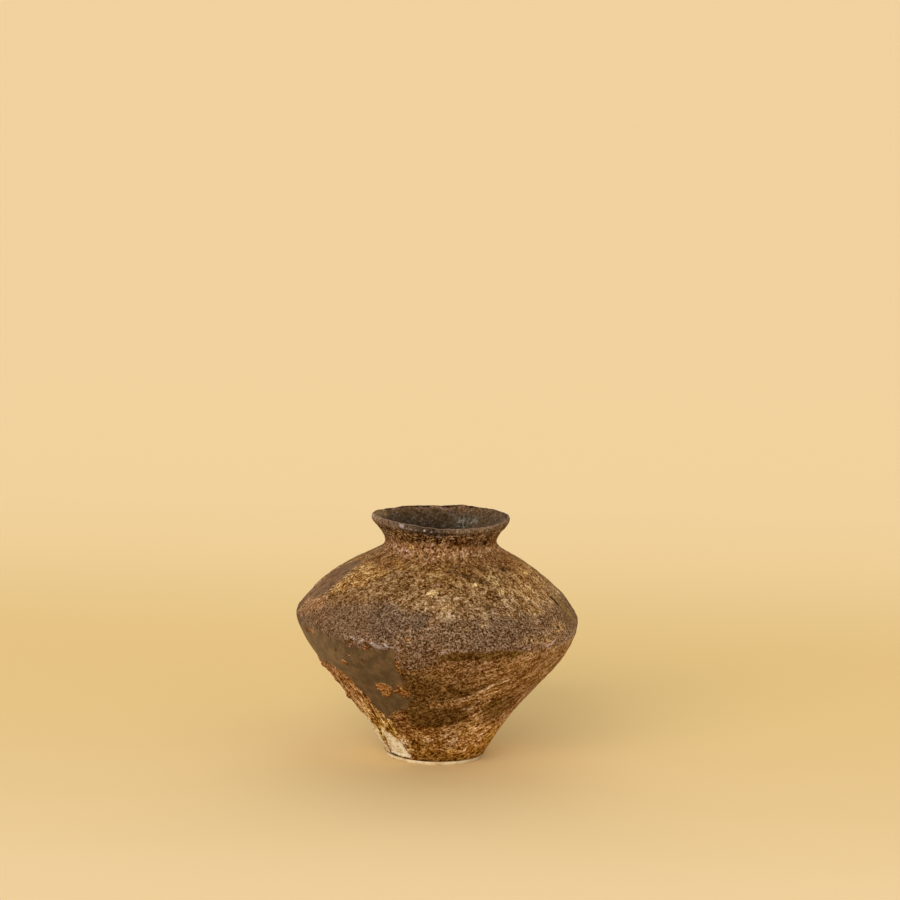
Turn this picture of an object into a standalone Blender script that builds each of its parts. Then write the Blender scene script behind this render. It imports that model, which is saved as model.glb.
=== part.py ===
# A hand-built stoneware pot: two cones joined at a keel, a short neck and a flared lip.
# It is made as a potter makes it, in sections that are luted one on another:
# a slab foot, a lower wall, a shoulder wall, a neck collar and a last coil for the lip.
# Metres, +Z up. The origin is the centre of the underside, and -Y is the front.

import math

import bmesh
import bpy
from mathutils import Matrix, Vector

# Foot: a slab of bare pale clay, with a ledge that the lower wall stands on
FOOT_RADIUS = 0.0293
FOOT_EDGE = 0.0025  # height of the bare edge that shows under the wall
FOOT_ROUND = 0.0006  # rounding of the edge that meets the table
FOOT_RING = 0.0080  # width of the ring that the pot stands on
FOOT_HOLLOW = 0.0012  # how far the middle of the underside is scraped away
FLOOR_THICKNESS = 0.0070  # slab thickness, underside to the floor inside

# Lower wall: a cone that opens from the foot to the keel
LOWER_RISE = 0.0795
KEEL_RADIUS = 0.0825
FOOT_LEAN = 0.45  # outward run for each unit of rise, where the wall leaves the foot
KEEL_LEAN_BELOW = 0.34
WALL = 0.0056  # wall thickness, square to the surface
KEEL_WALL = 0.0088  # the wall is thicker at the keel, where two rims meet
KEEL_ROUND = 0.0040  # radius of the keel's worn arris
KEY_WIDTH = 0.0032  # the V-shaped tongue that keys one rim into the other
KEY_DEPTH = 0.0016

# Shoulder wall: a domed cone that closes from the keel to the neck
SHOULDER_RISE = 0.0392
NECK_BASE_RADIUS = 0.0350
KEEL_LEAN_ABOVE = -0.60
SHOULDER_LEAN = -1.95

# Neck collar and lip coil
NECK_RISE = 0.0053  # from the shoulder to the waist of the neck
NECK_DRAW_IN = 0.0030  # how far the waist draws in from the neck's base
NECK_LEAN = -1.0
NECK_WALL = 0.0046
FLARE_RISE = 0.0132  # from the waist to the middle of the lip
LIP_FLARE = 0.0079  # how far the lip stands out beyond the waist
LIP_LEAN = 0.90
LIP_ROUND = 0.0018  # radius of the rounded lip
LIP_COIL_SHARE = 0.45  # share of the flare that the last coil makes
LIP_SCARF_SHARE = 0.16  # the coil laps down the outside by this share more than inside

# What the hand leaves: a body not quite round, and a lip not quite level
OUT_OF_ROUND = 0.0009
LOBE_PITCH = 0.0660  # height in which the three shallow lobes wind once
LOBES = 3
LIP_WAVE = 0.0011
WAVES = 2
WAVE_ANGLE = math.radians(20)

JOINT_GAP = 0.0003  # the slip line between two sections
SIDES = 72
WALL_STEPS = 9
NECK_STEPS = 4
FLARE_STEPS = 4
ARC_STEPS = 3
AXIS_MERGE = 0.00001
SHARP_ANGLE = math.radians(35)

CLAY_COLOUR = (0.72, 0.62, 0.45)
CRUST_COLOUR = (0.25, 0.15, 0.08)
LIP_COLOUR = (0.15, 0.11, 0.08)


def across(wall, lean):
    """Level thickness of a wall that leans, from its thickness square to the surface."""
    return wall * math.hypot(1, lean)


def wall_curve(start, end, lean_start, lean_end, steps, first=0.0, last=1.0):
    """Points (radius, height) of a cubic curve that leaves start and reaches end at the given leans.
    first and last are the shares of the curve between which points are made."""
    reach = (end[1] - start[1]) / 3
    handles = [
        Vector(start),
        Vector(start) + Vector((lean_start, 1)) * reach,
        Vector(end) - Vector((lean_end, 1)) * reach,
        Vector(end),
    ]
    points = []
    for step in range(steps + 1):
        t = first + (last - first) * step / steps
        weights = ((1 - t) ** 3, 3 * t * (1 - t) ** 2, 3 * t**2 * (1 - t), t**3)
        points.append(sum((h * w for h, w in zip(handles, weights)), Vector((0, 0))))
    return points


def keel_arc():
    """The keel's arris: an arc tangent to the wall below and to the shoulder above, foot side first."""
    corner = Vector((KEEL_RADIUS, keel_height()))
    down = -Vector((KEEL_LEAN_BELOW, 1)).normalized()
    up = Vector((KEEL_LEAN_ABOVE, 1)).normalized()
    half_angle = down.angle(up) / 2
    centre = corner + (down + up).normalized() * KEEL_ROUND / math.sin(half_angle)
    first = corner + down * KEEL_ROUND / math.tan(half_angle) - centre
    turn = math.pi - 2 * half_angle
    steps = 2 * ARC_STEPS
    return [centre + rotated(first, turn * step / steps) for step in range(steps + 1)]


def rotated(vector, angle):
    """A (radius, height) vector turned anticlockwise."""
    return Matrix.Rotation(angle, 2) @ vector


def keel_height():
    return FOOT_EDGE + LOWER_RISE


def neck_base():
    return Vector((NECK_BASE_RADIUS, keel_height() + SHOULDER_RISE))


def seat_bottom():
    """Lower end of the tapered seat that the collar drops into, one wall under the neck's base."""
    inward = Vector((-1, SHOULDER_LEAN)).normalized()
    return neck_base() + inward * WALL


def waist():
    return neck_base() + Vector((-NECK_DRAW_IN, NECK_RISE))


def lip_centre():
    return waist() + Vector((LIP_FLARE - LIP_ROUND, FLARE_RISE))


def floor_radius():
    """Radius of the floor inside, where the wall's inner face meets it."""
    outside = FOOT_RADIUS + FOOT_LEAN * (FLOOR_THICKNESS - FOOT_EDGE)
    return outside - across(WALL, FOOT_LEAN)


def keel_key(height):
    """The V across the keel's joint, from its outer edge to its inner edge."""
    middle = KEEL_RADIUS - KEEL_WALL / 2
    return [
        Vector((middle + KEY_WIDTH / 2, height)),
        Vector((middle, height - KEY_DEPTH)),
        Vector((middle - KEY_WIDTH / 2, height)),
    ]


def flare(inner, first, last, steps):
    """The neck's flare from waist to lip, on its outer or its inner side."""
    square = Vector((1, -LIP_LEAN)).normalized() * LIP_ROUND
    end = lip_centre() - square if inner else lip_centre() + square
    start = waist() - Vector((NECK_WALL, 0)) if inner else waist()
    return wall_curve(start, end, 0, LIP_LEAN, steps, first, last)


def foot_disc_outline():
    ledge_radius = floor_radius() - JOINT_GAP
    hollow_radius = FOOT_RADIUS - FOOT_RING
    return [
        (0, FOOT_HOLLOW),
        (hollow_radius - FOOT_HOLLOW, FOOT_HOLLOW),
        (hollow_radius, 0),
        (FOOT_RADIUS - FOOT_ROUND, 0),
        (FOOT_RADIUS, FOOT_ROUND),
        (FOOT_RADIUS, FOOT_EDGE),
        (ledge_radius, FOOT_EDGE),
        (ledge_radius, FLOOR_THICKNESS),
        (0, FLOOR_THICKNESS),
    ]


def lower_wall_outline():
    arc = keel_arc()[: ARC_STEPS + 1]
    keel = arc[-1].y - JOINT_GAP
    corner = (KEEL_RADIUS, keel_height())
    foot = (FOOT_RADIUS, FOOT_EDGE + JOINT_GAP)
    outside = wall_curve(foot, corner, FOOT_LEAN, KEEL_LEAN_BELOW, WALL_STEPS)[:-1]
    rim_inside = Vector((KEEL_RADIUS - KEEL_WALL, keel))
    floor = (floor_radius(), FLOOR_THICKNESS)
    inside = wall_curve(floor, rim_inside, FOOT_LEAN, KEEL_LEAN_BELOW, WALL_STEPS)
    rim = [Vector((arc[-1].x, keel))]
    ledge = [(floor_radius(), FOOT_EDGE + JOINT_GAP)]
    return outside + arc[:-1] + rim + keel_key(keel) + inside[::-1] + ledge


def shoulder_wall_outline():
    arc = keel_arc()[ARC_STEPS:]
    corner = (KEEL_RADIUS, keel_height())
    outside = wall_curve(corner, neck_base(), KEEL_LEAN_ABOVE, SHOULDER_LEAN, WALL_STEPS)[1:]
    rim_inside = Vector((KEEL_RADIUS - KEEL_WALL, arc[0].y))
    inside = wall_curve(rim_inside, seat_bottom(), KEEL_LEAN_ABOVE, SHOULDER_LEAN, WALL_STEPS)
    return keel_key(arc[0].y)[::-1] + arc + outside + inside[::-1]


def neck_collar_outline():
    clear = Vector((SHOULDER_LEAN, 1)).normalized() * JOINT_GAP
    seat_top = neck_base() + clear
    seat_low = seat_bottom() + clear
    neck = wall_curve(seat_top, waist(), NECK_LEAN, 0, NECK_STEPS)
    seam = 1 - LIP_COIL_SHARE
    outside = flare(False, 0.0, seam - LIP_SCARF_SHARE, FLARE_STEPS)
    inside = flare(True, 0.0, seam, FLARE_STEPS)
    bore_foot = Vector((inside[0].x, seat_low.y))
    return [seat_low] + neck + outside[1:] + inside[::-1] + [bore_foot]


def lip_coil_outline():
    seam = 1 - LIP_COIL_SHARE + JOINT_GAP / FLARE_RISE
    outside = flare(False, seam - LIP_SCARF_SHARE, 1.0, FLARE_STEPS)
    inside = flare(True, seam, 1.0, FLARE_STEPS)
    centre = lip_centre()
    steps = 2 * ARC_STEPS
    edge = outside[-1] - centre
    roll = [centre + rotated(edge, math.pi * step / steps) for step in range(1, steps)]
    return outside + roll + inside[::-1]


def hand_built(point):
    """Moves a point of the true turned form to where the hand left it.
    Every section is moved by the same rule, so that the joints between them still fit."""
    radius = math.hypot(point.x, point.y)
    angle = math.atan2(point.y, point.x)
    wind = 2 * math.pi * (point.z - keel_height()) / LOBE_PITCH
    bulge = -OUT_OF_ROUND * math.cos(LOBES * angle + wind) * radius / KEEL_RADIUS
    top = lip_centre().y + LIP_ROUND
    above_shoulder = max(0, point.z - neck_base().y) / (top - neck_base().y)
    wave = LIP_WAVE * math.cos(WAVES * angle - WAVE_ANGLE)
    x = point.x + bulge * math.cos(angle)
    y = point.y + bulge * math.sin(angle)
    return Vector((x, y, point.z + wave * above_shoulder**2))


def turned(name, outline, material, closed=True):
    """Spins an outline of (radius, height) points round Z, as one named object that stands on its joint."""
    bm = bmesh.new()
    corners = [bm.verts.new((p[0], 0, p[1])) for p in outline]
    pairs = list(zip(corners, corners[1:]))
    if closed:
        pairs.append((corners[-1], corners[0]))
    edges = [bm.edges.new(pair) for pair in pairs]
    bmesh.ops.spin(
        bm,
        geom=corners + edges,
        cent=(0, 0, 0),
        axis=(0, 0, 1),
        angle=2 * math.pi,
        steps=SIDES,
        use_merge=True,
    )
    bmesh.ops.remove_doubles(bm, verts=bm.verts, dist=AXIS_MERGE)
    seat = min(p[1] for p in outline)
    for vert in bm.verts:
        vert.co = hand_built(vert.co) - Vector((0, 0, seat))
    bmesh.ops.recalc_face_normals(bm, faces=bm.faces)
    mesh = bpy.data.meshes.new(name)
    bm.to_mesh(mesh)
    bm.free()
    mesh.shade_smooth()
    mesh.set_sharp_from_angle(angle=SHARP_ANGLE)
    mesh.materials.append(material)
    piece = bpy.data.objects.new(name, mesh)
    piece.location.z = seat
    bpy.context.scene.collection.objects.link(piece)
    return piece


def fired(name, colour, roughness):
    """A fired surface: bare clay, or the rough slip coat."""
    material = bpy.data.materials.new(name)
    material.use_nodes = True
    shader = material.node_tree.nodes["Principled BSDF"]
    shader.inputs["Base Color"].default_value = (*colour, 1)
    shader.inputs["Roughness"].default_value = roughness
    shader.inputs["Metallic"].default_value = 0
    return material


def build():
    for old in list(bpy.data.objects):
        bpy.data.objects.remove(old)
    clay = fired("bare_clay", CLAY_COLOUR, 0.85)
    crust = fired("slip_crust", CRUST_COLOUR, 0.75)
    dark = fired("dark_slip", LIP_COLOUR, 0.6)
    pot = bpy.data.objects.new("pot", None)
    bpy.context.scene.collection.objects.link(pot)
    sections = [
        turned("foot_disc", foot_disc_outline(), clay, closed=False),
        turned("lower_wall", lower_wall_outline(), crust),
        turned("shoulder_wall", shoulder_wall_outline(), crust),
        turned("neck_collar", neck_collar_outline(), crust),
        turned("lip_coil", lip_coil_outline(), dark),
    ]
    for section in sections:
        section.parent = pot


build()
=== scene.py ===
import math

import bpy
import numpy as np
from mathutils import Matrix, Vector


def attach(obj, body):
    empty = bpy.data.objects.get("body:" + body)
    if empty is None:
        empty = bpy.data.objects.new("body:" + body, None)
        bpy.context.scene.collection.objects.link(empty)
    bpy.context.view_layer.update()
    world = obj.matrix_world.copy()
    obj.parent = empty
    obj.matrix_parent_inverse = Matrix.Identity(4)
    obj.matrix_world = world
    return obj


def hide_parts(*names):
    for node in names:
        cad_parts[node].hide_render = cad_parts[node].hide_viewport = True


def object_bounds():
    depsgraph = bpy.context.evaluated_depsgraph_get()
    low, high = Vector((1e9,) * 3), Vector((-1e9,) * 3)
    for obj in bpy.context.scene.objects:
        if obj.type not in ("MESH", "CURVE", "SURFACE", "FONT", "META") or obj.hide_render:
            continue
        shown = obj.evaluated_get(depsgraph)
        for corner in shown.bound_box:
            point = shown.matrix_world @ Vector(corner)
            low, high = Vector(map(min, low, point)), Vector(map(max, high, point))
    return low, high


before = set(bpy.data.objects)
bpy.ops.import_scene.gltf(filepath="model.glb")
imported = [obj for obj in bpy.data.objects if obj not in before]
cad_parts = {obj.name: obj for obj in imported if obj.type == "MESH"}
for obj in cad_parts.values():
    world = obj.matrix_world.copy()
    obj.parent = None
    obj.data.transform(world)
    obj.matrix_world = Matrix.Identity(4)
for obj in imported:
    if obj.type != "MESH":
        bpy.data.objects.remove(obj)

# A hand-built stoneware pot, dressed for its photograph.
# Shapes are worked out in millimetres, on one grid of rings (foot to lip, then down the inside)
# by columns (once round the pot), and turned into metres when a mesh is made.
# A bearing is in degrees round the pot: 0 is the front, 90 the right side.

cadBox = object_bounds()
print("frame loaded:", sorted(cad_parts))


# The form

potForm = {
    "columns": 600,
    # radius and height of the outside, foot to lip, then of the inside, lip to floor
    "outline": [
        (28.3, 2.5), (28.8, 2.7), (29.2, 3.7), (30.2, 5.6), (32.1, 8.2), (36.8, 15.6), (43.7, 25.6),
        (51.7, 35.8), (59.5, 45.8), (67.3, 55.6), (73.2, 63.9), (77.0, 70.1), (79.3, 74.9), (80.7, 78.4),
        (81.4, 81.2), (81.2, 83.3), (79.8, 85.8), (77.3, 89.1), (74.1, 93.0), (68.2, 98.8), (61.3, 104.7),
        (54.5, 109.7), (48.0, 113.8), (41.8, 117.4), (36.8, 120.4), (33.4, 123.2), (31.9, 126.6),
        (32.5, 129.7), (34.2, 132.7), (36.5, 135.6), (38.6, 138.0), (39.5, 139.4), (39.4, 140.6),
        (38.5, 141.2), (37.5, 140.9), (36.3, 139.6), (33.8, 136.6), (31.0, 133.0), (28.8, 129.6),
        (27.6, 126.4), (27.2, 122.8), (27.8, 119.4), (29.8, 116.8), (33.6, 114.4), (40.5, 110.8),
        (47.5, 106.9), (54.5, 102.1), (61.0, 96.6), (66.6, 90.8), (71.0, 85.6), (73.1, 81.6),
        (72.6, 77.4), (69.8, 71.6), (65.4, 64.6), (59.0, 55.8), (51.2, 45.8), (43.4, 35.8),
        (35.6, 25.6), (29.2, 15.6), (26.2, 9.8), (25.3, 7.0),
    ],
    # heights where one section is luted on the next, outside and then inside
    "jointsOutside": (82.1, 121.2, 132.4),
    "jointsInside": (134.9, 117.0, 81.6),
    # rings in each stretch between two joints, outside from the foot up, then inside from the lip down
    "rings": (128, 104, 22, 54, 26, 30, 32),
    "lobes": 3, "lobeDepth": 0.9, "lobePitch": 66.0, "keelHeight": 82.0, "keelRadius": 82.5,
    "lipWave": 0.9, "lipWaveBearing": 32.0, "lipTop": 141.5, "neckBase": 121.2,
    # how far the lip sinks at each bearing
    "lipSink": [
        (-180, 1.4), (-165, 1.15), (-154, 0.6), (-147, 0.55), (-136, 1.3), (-124, 1.3), (-105, 0.6),
        (-80, 0.1), (-62, -0.3), (-25, -0.65), (0, -0.3), (28, -0.5), (50, -0.3), (80, 0.1), (95, 0.3),
        (116, 0.9), (131, 1.15), (142, 1.5), (152, 1), (163, 0.7), (180, 1.4),
    ],
    # how far each height leans to the right
    "drift": [
        (0, 0), (46, -0.2), (56, 0.1), (64, 0.3), (76, 0.35), (80, 0), (83, -0.1), (87, -0.4), (93, -0.3),
        (99, -0.9), (105, -1), (110, -0.3), (114, 0.3), (120, 0.6), (124, 0.4), (128, 0),
    ],
}


def smoothCurve(corners, steps=60):
    # a line through the corners: cubic pieces that leave each corner along the chord of its neighbours
    corner = np.array(corners, float)
    gap = np.hypot(*np.diff(corner, axis=0).T)
    at = np.concatenate([[0], np.cumsum(gap)])
    slope = np.gradient(corner, at, axis=0)
    fine = np.linspace(0, at[-1], steps * len(corner))
    k = np.clip(np.searchsorted(at, fine, side="right") - 1, 0, len(gap) - 1)
    t = ((fine - at[k]) / gap[k])[:, None]
    h = gap[k][:, None]
    line = corner[k] * (2 * t**3 - 3 * t**2 + 1) + slope[k] * h * (t**3 - 2 * t**2 + t)
    return line + corner[k + 1] * (3 * t**2 - 2 * t**3) + slope[k + 1] * h * (t**3 - t**2)


def ringsOf(form):
    # rings at even steps of length between the joints
    # returns their (radius, height, length run), each joint's ring and the topmost ring
    line = smoothCurve(form["outline"])
    run = np.concatenate([[0], np.cumsum(np.hypot(*np.diff(line, axis=0).T))])
    top = np.argmax(line[:, 1])
    up = np.interp(form["jointsOutside"], line[:top, 1], run[:top])
    down = np.interp([-z for z in form["jointsInside"]], -line[top:, 1], run[top:])
    ends = np.concatenate([[0], up, down, [run[-1]]])
    steps = [np.linspace(a, b, n, endpoint=False) for a, b, n in zip(ends, ends[1:], form["rings"])]
    at = np.concatenate(steps + [ends[-1:]])
    rings = np.stack([np.interp(at, run, line[:, 0]), np.interp(at, run, line[:, 1]), at], 1)
    joint = np.concatenate([[0], np.cumsum(form["rings"])])
    return rings, joint, np.argmax(rings[:, 1])


def handBuilt(radius, height, angle, form):
    # lobes: radius - depth * cos(3 angle + turn by height)
    # lip: height + (wave * cos(2 angle) - sink) * the square of the share of the way up the neck
    turn = 2 * np.pi * (height - form["keelHeight"]) / form["lobePitch"]
    bulge = -form["lobeDepth"] * np.cos(form["lobes"] * angle + turn) * radius / form["keelRadius"]
    climbed = np.clip(height - form["neckBase"], 0, None) / (form["lipTop"] - form["neckBase"])
    wave = form["lipWave"] * np.cos(2 * angle - math.radians(form["lipWaveBearing"]))
    wave = wave - np.interp(wrapped(np.degrees(angle) + 90), *np.array(form["lipSink"]).T)
    drift = np.interp(height, *np.array(form["drift"]).T)
    x = (radius + bulge) * np.cos(angle) + drift
    y = (radius + bulge) * np.sin(angle)
    return np.stack([x, y, height + wave * climbed**2], -1)


def gridNormals(points):
    # the cross product of the step round the pot and the step up the wall, made one long
    east = np.roll(points, -1, axis=1) - np.roll(points, 1, axis=1)
    normal = np.cross(east, np.gradient(points, axis=0))
    return normal / np.linalg.norm(normal, axis=-1, keepdims=True)


# Noise and marks on the grid

scramble = {"place": (374761393, 668265263, 1442695041), "seed": 974634777, "again": 1274126177}
noiseGain = 1.7  # brings the noise to about -1 to 1


def cornerSlopes(cell, seed):
    # three numbers from -1 to 1 for each whole-number corner, scrambled from its place and the seed
    h = (cell * scramble["place"]).sum(-1) + seed * scramble["seed"]
    h = (h ^ (h >> 13)) & 0xFFFFFFFF
    h = (h * scramble["again"]) & 0xFFFFFFFF
    h = h ^ (h >> 16)
    return np.stack([h & 1023, (h >> 10) & 1023, (h >> 20) & 1023], -1) / 511.5 - 1


def softNoise(points, size, seed):
    # a slope at each corner of a lattice of this size, faded from corner to corner: about -1 to 1
    place = points / size
    cell = np.floor(place).astype(np.int64)
    part = place - cell
    fade = part**3 * (part * (part * 6 - 15) + 10)
    total = np.zeros(points.shape[:-1])
    for corner in np.ndindex(2, 2, 2):
        weight = np.where(corner, fade, 1 - fade).prod(-1)
        total += weight * (cornerSlopes(cell + corner, seed) * (part - corner)).sum(-1)
    return total * noiseGain


def ease(value, low, high):
    # 0 below low, 1 above high, and a smooth S between
    t = np.clip((value - low) / (high - low), 0, 1)
    return t * t * (3 - 2 * t)


def hump(value, middle, width):
    # e to the power -(distance from the middle / width) squared
    return np.exp(-(((value - middle) / width) ** 2))


def wrapped(bearing):
    return (bearing + 180) % 360 - 180


rings, joint, topRing = ringsOf(potForm)
ringRadius, ringHeight, ringRun = rings[:, 0:1], rings[:, 1:2], rings[:, 2:3]
columnAngle = np.arange(potForm["columns"]) * 2 * np.pi / potForm["columns"]
columnBearing = wrapped(np.degrees(columnAngle) + 90)[None, :]
plainWall = handBuilt(ringRadius, ringHeight, columnAngle[None, :], potForm)
plainNormal = gridNormals(plainWall)
outside = (np.arange(len(rings)) <= topRing)[:, None]
fromTop = ringRun - ringRun[topRing]  # length past the top of the lip: less than 0 outside

# bearing and length up the wall, pushed about by noise so that the edges of marks wander
edgeWander = {"broad": 1.7, "broadSize": 6.0, "fine": 0.8, "fineSize": 2.3}


def wander(look, seed):
    # broad noise + fine noise, in millimetres
    push = look["broad"] * softNoise(plainWall, look["broadSize"], seed)
    return push + look["fine"] * softNoise(plainWall, look["fineSize"], seed + 1)


pushRound, pushUp = wander(edgeWander, 3), wander(edgeWander, 5)
markBearing = columnBearing + np.degrees(pushRound / ringRadius)
markRun = ringRun + pushUp


def runAt(height):
    return np.interp(height, ringHeight[:topRing, 0], ringRun[:topRing, 0])


def radiusAt(height):
    return np.interp(height, ringHeight[:topRing, 0], ringRadius[:topRing, 0])


def above(low, high):
    # 0 under the one height, 1 over the other
    return ease(ringHeight, low, high)


def below(low, high):
    return 1 - above(low, high)


def rightOf(start, full):
    # 0 left of the one bearing, 1 right of the other
    return ease(columnBearing, start, full)


def leftOf(full, gone):
    return 1 - rightOf(full, gone)


def patch(corners):
    # distance in mm to a closed outline of (bearing, height) corners, more than 0 inside it
    bearing, height = np.array(corners, float).T
    centre, middle = bearing.mean(), radiusAt(height).mean()
    corner = np.stack([np.radians(bearing - centre) * middle, runAt(height)], 1)
    across = np.radians(wrapped(markBearing - centre)) * middle
    nearest = np.full(across.shape, 1e6)
    within = np.zeros(across.shape, bool)
    for (ax, ay), (bx, by) in zip(corner, np.roll(corner, -1, axis=0)):
        ex, ey = bx - ax, by - ay
        along = np.clip(((across - ax) * ex + (markRun - ay) * ey) / (ex * ex + ey * ey), 0, 1)
        nearest = np.minimum(nearest, np.hypot(across - ax - along * ex, markRun - ay - along * ey))
        passes = (ay > markRun) != (by > markRun)
        within ^= passes & (across < ex * (markRun - ay) / (ey if ey else 1e-9) + ax)
    return np.where(within & outside, nearest, -nearest)


def marks(strokes, pushed=1.0):
    # soft ovals: (bearing, height, half length, half width, rise in degrees, strength), the strongest counts
    # pushed is the share of the noise that pushes them about
    total = np.zeros(markBearing.shape)
    for bearing, height, long, wide, rise, strength in strokes:
        across = np.radians(wrapped(columnBearing - bearing)) * radiusAt(height) + pushed * pushRound
        up = ringRun - runAt(height) + pushed * pushUp
        turn = math.radians(rise)
        along = across * math.cos(turn) + up * math.sin(turn)
        aside = up * math.cos(turn) - across * math.sin(turn)
        total = np.maximum(total, strength * np.exp(-((along / long) ** 2) - (aside / wide) ** 2))
    return total * outside


print("grid:", plainWall.shape)


# Where the coats lie

# glaze pools, where the crust didn't form: closed outlines of (bearing, height)
glazePools = {
    "frontPool": [
        (-88, 81), (-75, 81), (-62.8, 81.2), (-54, 81.6), (-46, 81), (-39.6, 79.8), (-36.6, 77.8),
        (-31.8, 77.4), (-26.9, 78.6), (-21.1, 79.4), (-17.8, 78.8), (-17.7, 75.4), (-18.6, 69.5),
        (-18.6, 64.8), (-16.6, 62.4), (-15.1, 59.1), (-14.4, 54.4), (-13.3, 48), (-15.3, 42.9),
        (-18.9, 38.8), (-24, 37), (-29.3, 34.2), (-35, 30), (-38.6, 33.5), (-41.9, 40.4), (-45.4, 49.5),
        (-49.7, 56.2), (-53.5, 59.5), (-60.7, 60.2), (-68.3, 59.4), (-80, 59.6), (-93, 61), (-102, 70),
        (-99, 79),
    ],
    "leftLens": [
        (-82, 93.6), (-76.5, 96), (-71.5, 100.5), (-70, 105), (-71.5, 108.8), (-74.5, 112), (-79, 114.6),
        (-85, 115.2), (-92, 111.8), (-98, 107.5), (-97, 102), (-92, 97.2), (-86, 94.4),
    ],
    "leftTip": [
        (-88, 85.6), (-86, 89), (-88, 93), (-95, 95), (-104, 93.5), (-110, 89.5), (-105, 86.4),
        (-96, 85.2),
    ],
    "backPool": [
        (148, 74), (157, 77), (170, 77.6), (183, 76.4), (192, 73.4), (196, 68), (194, 61), (188, 55),
        (184, 48), (179, 42.5), (174.5, 45), (171, 52), (163, 56), (156, 60), (149, 66),
    ],
    "backLens": [
        (-151, 111), (-145, 111.4), (-138, 108), (-133, 102.6), (-134, 97), (-141, 94.4), (-150, 97),
        (-156, 104),
    ],
    "backDrop": [(118, 58), (126, 60), (131, 50), (128, 38), (121, 34), (117, 45)],
}
# crumbs of crust that lie on the pools: bearing, height, radius across and up
crustCrumbs = [
    (-27, 51.3, 5, 6.8), (-16.9, 52.6, 4.2, 6.2), (-22, 50.4, 2.4, 1.8), (-45, 65.6, 2.2, 1.6),
    (-17.4, 70.5, 1.3, 6.5), (-66, 79.4, 3, 1.2), (-60.5, 80, 3.4, 2), (-37.5, 77.9, 2, 1.2),
    (-30.2, 77.9, 2.6, 0.9), (-84.6, 103.2, 2.6, 1.5), (-79, 99.5, 1.6, 1), (-90.5, 108.4, 1.8, 1.1),
    (-93, 101.6, 2.4, 1.3), (157, 69, 3, 2.4), (190, 62, 2.2, 1.6), (178, 47, 2, 1.3),
    (171, 75.6, 4, 1.4), (-136.5, 99, 2.4, 1.6), (-152, 105, 1.4, 1.2), (-40, 71, 0.9, 0.6),
    (-33, 69, 0.6, 0.8), (-48, 73, 1, 0.6), (-55, 70, 0.8, 0.7),
]
# bare clay, where the coat was wiped or ran thin
bareSpots = {
    "frontClay": [
        (-27.5, 1.5), (-28, 5), (-29, 9), (-32, 12.6), (-35.5, 15.6), (-40, 17.5), (-45, 18), (-50, 21),
        (-53, 20), (-50, 14), (-52, 9), (-56, 5.5), (-57, 1.5),
    ],
    "leftClay": [(-60, 1.5), (-61, 9), (-62, 17), (-65, 25), (-72, 30), (-84, 24), (-96, 1.5)],
    "backClay": [(191, 1.5), (189, 6), (193, 10.5), (201, 13), (209, 11.5), (215, 7), (217, 1.5)],
}


def deepestOf(outlines):
    # distance in mm into whichever outline a point is deepest in, or nearest to
    return np.maximum.reduce([patch(corners) for corners in outlines.values()])


def crumbDepth(crumbs):
    # the deepest of (1 - share of the way out from a crumb's middle) * its smaller radius
    depths = []
    for bearing, height, wide, tall in crumbs:
        across = np.radians(wrapped(markBearing - bearing)) * radiusAt(height) / wide
        depths.append((1 - np.hypot(across, (markRun - runAt(height)) / tall)) * min(wide, tall))
    return np.maximum.reduce(depths)


crumb = crumbDepth(crustCrumbs)
poolDepth = np.minimum(deepestOf(glazePools), -crumb)
# the pools melt into the crust along the keel and at the lower right, where their depth grows slowly
melting = {"melted": 0.86, "aboveKeel": 0.45, "keel": 84.2}
melt = np.maximum(above(74, 77.5), ease(markBearing, -25, -19) * below(60, 66))
poolDepth *= 1 - melting["melted"] * melt * (ringHeight < melting["keel"])
poolDepth *= 1 - melting["aboveKeel"] * (ringHeight > melting["keel"])
# painted shade: a dark line of coat is kept along the foot, below the bare clay, where the seam's shadow
# falls
footShadeLine = {"height": 3.7, "steepness": 1.4}
clayDepth = np.minimum(deepestOf(bareSpots), (ringHeight - footShadeLine["height"]) * footShadeLine["steepness"])
# the ochre band, where the coat ran thin down to the foot
ochreBand = [
    (-55, 61.5), (-51, 57), (-47, 52), (-43, 46), (-38, 39.5), (-34, 31), (-32, 26), (-33, 19), (-36, 20),
    (-44, 24), (-55, 12), (-60, 4), (-104, 4), (-110, 38), (-100, 58), (-80, 58.6), (-68, 59),
    (-60, 59.4),
]
ochreDepth = patch(ochreBand)
crust = 1 - ease(poolDepth, -1.1, 0.5)  # 1 on the crust, 0 on the pools
lowerWall = outside * below(79, 83)

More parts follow.
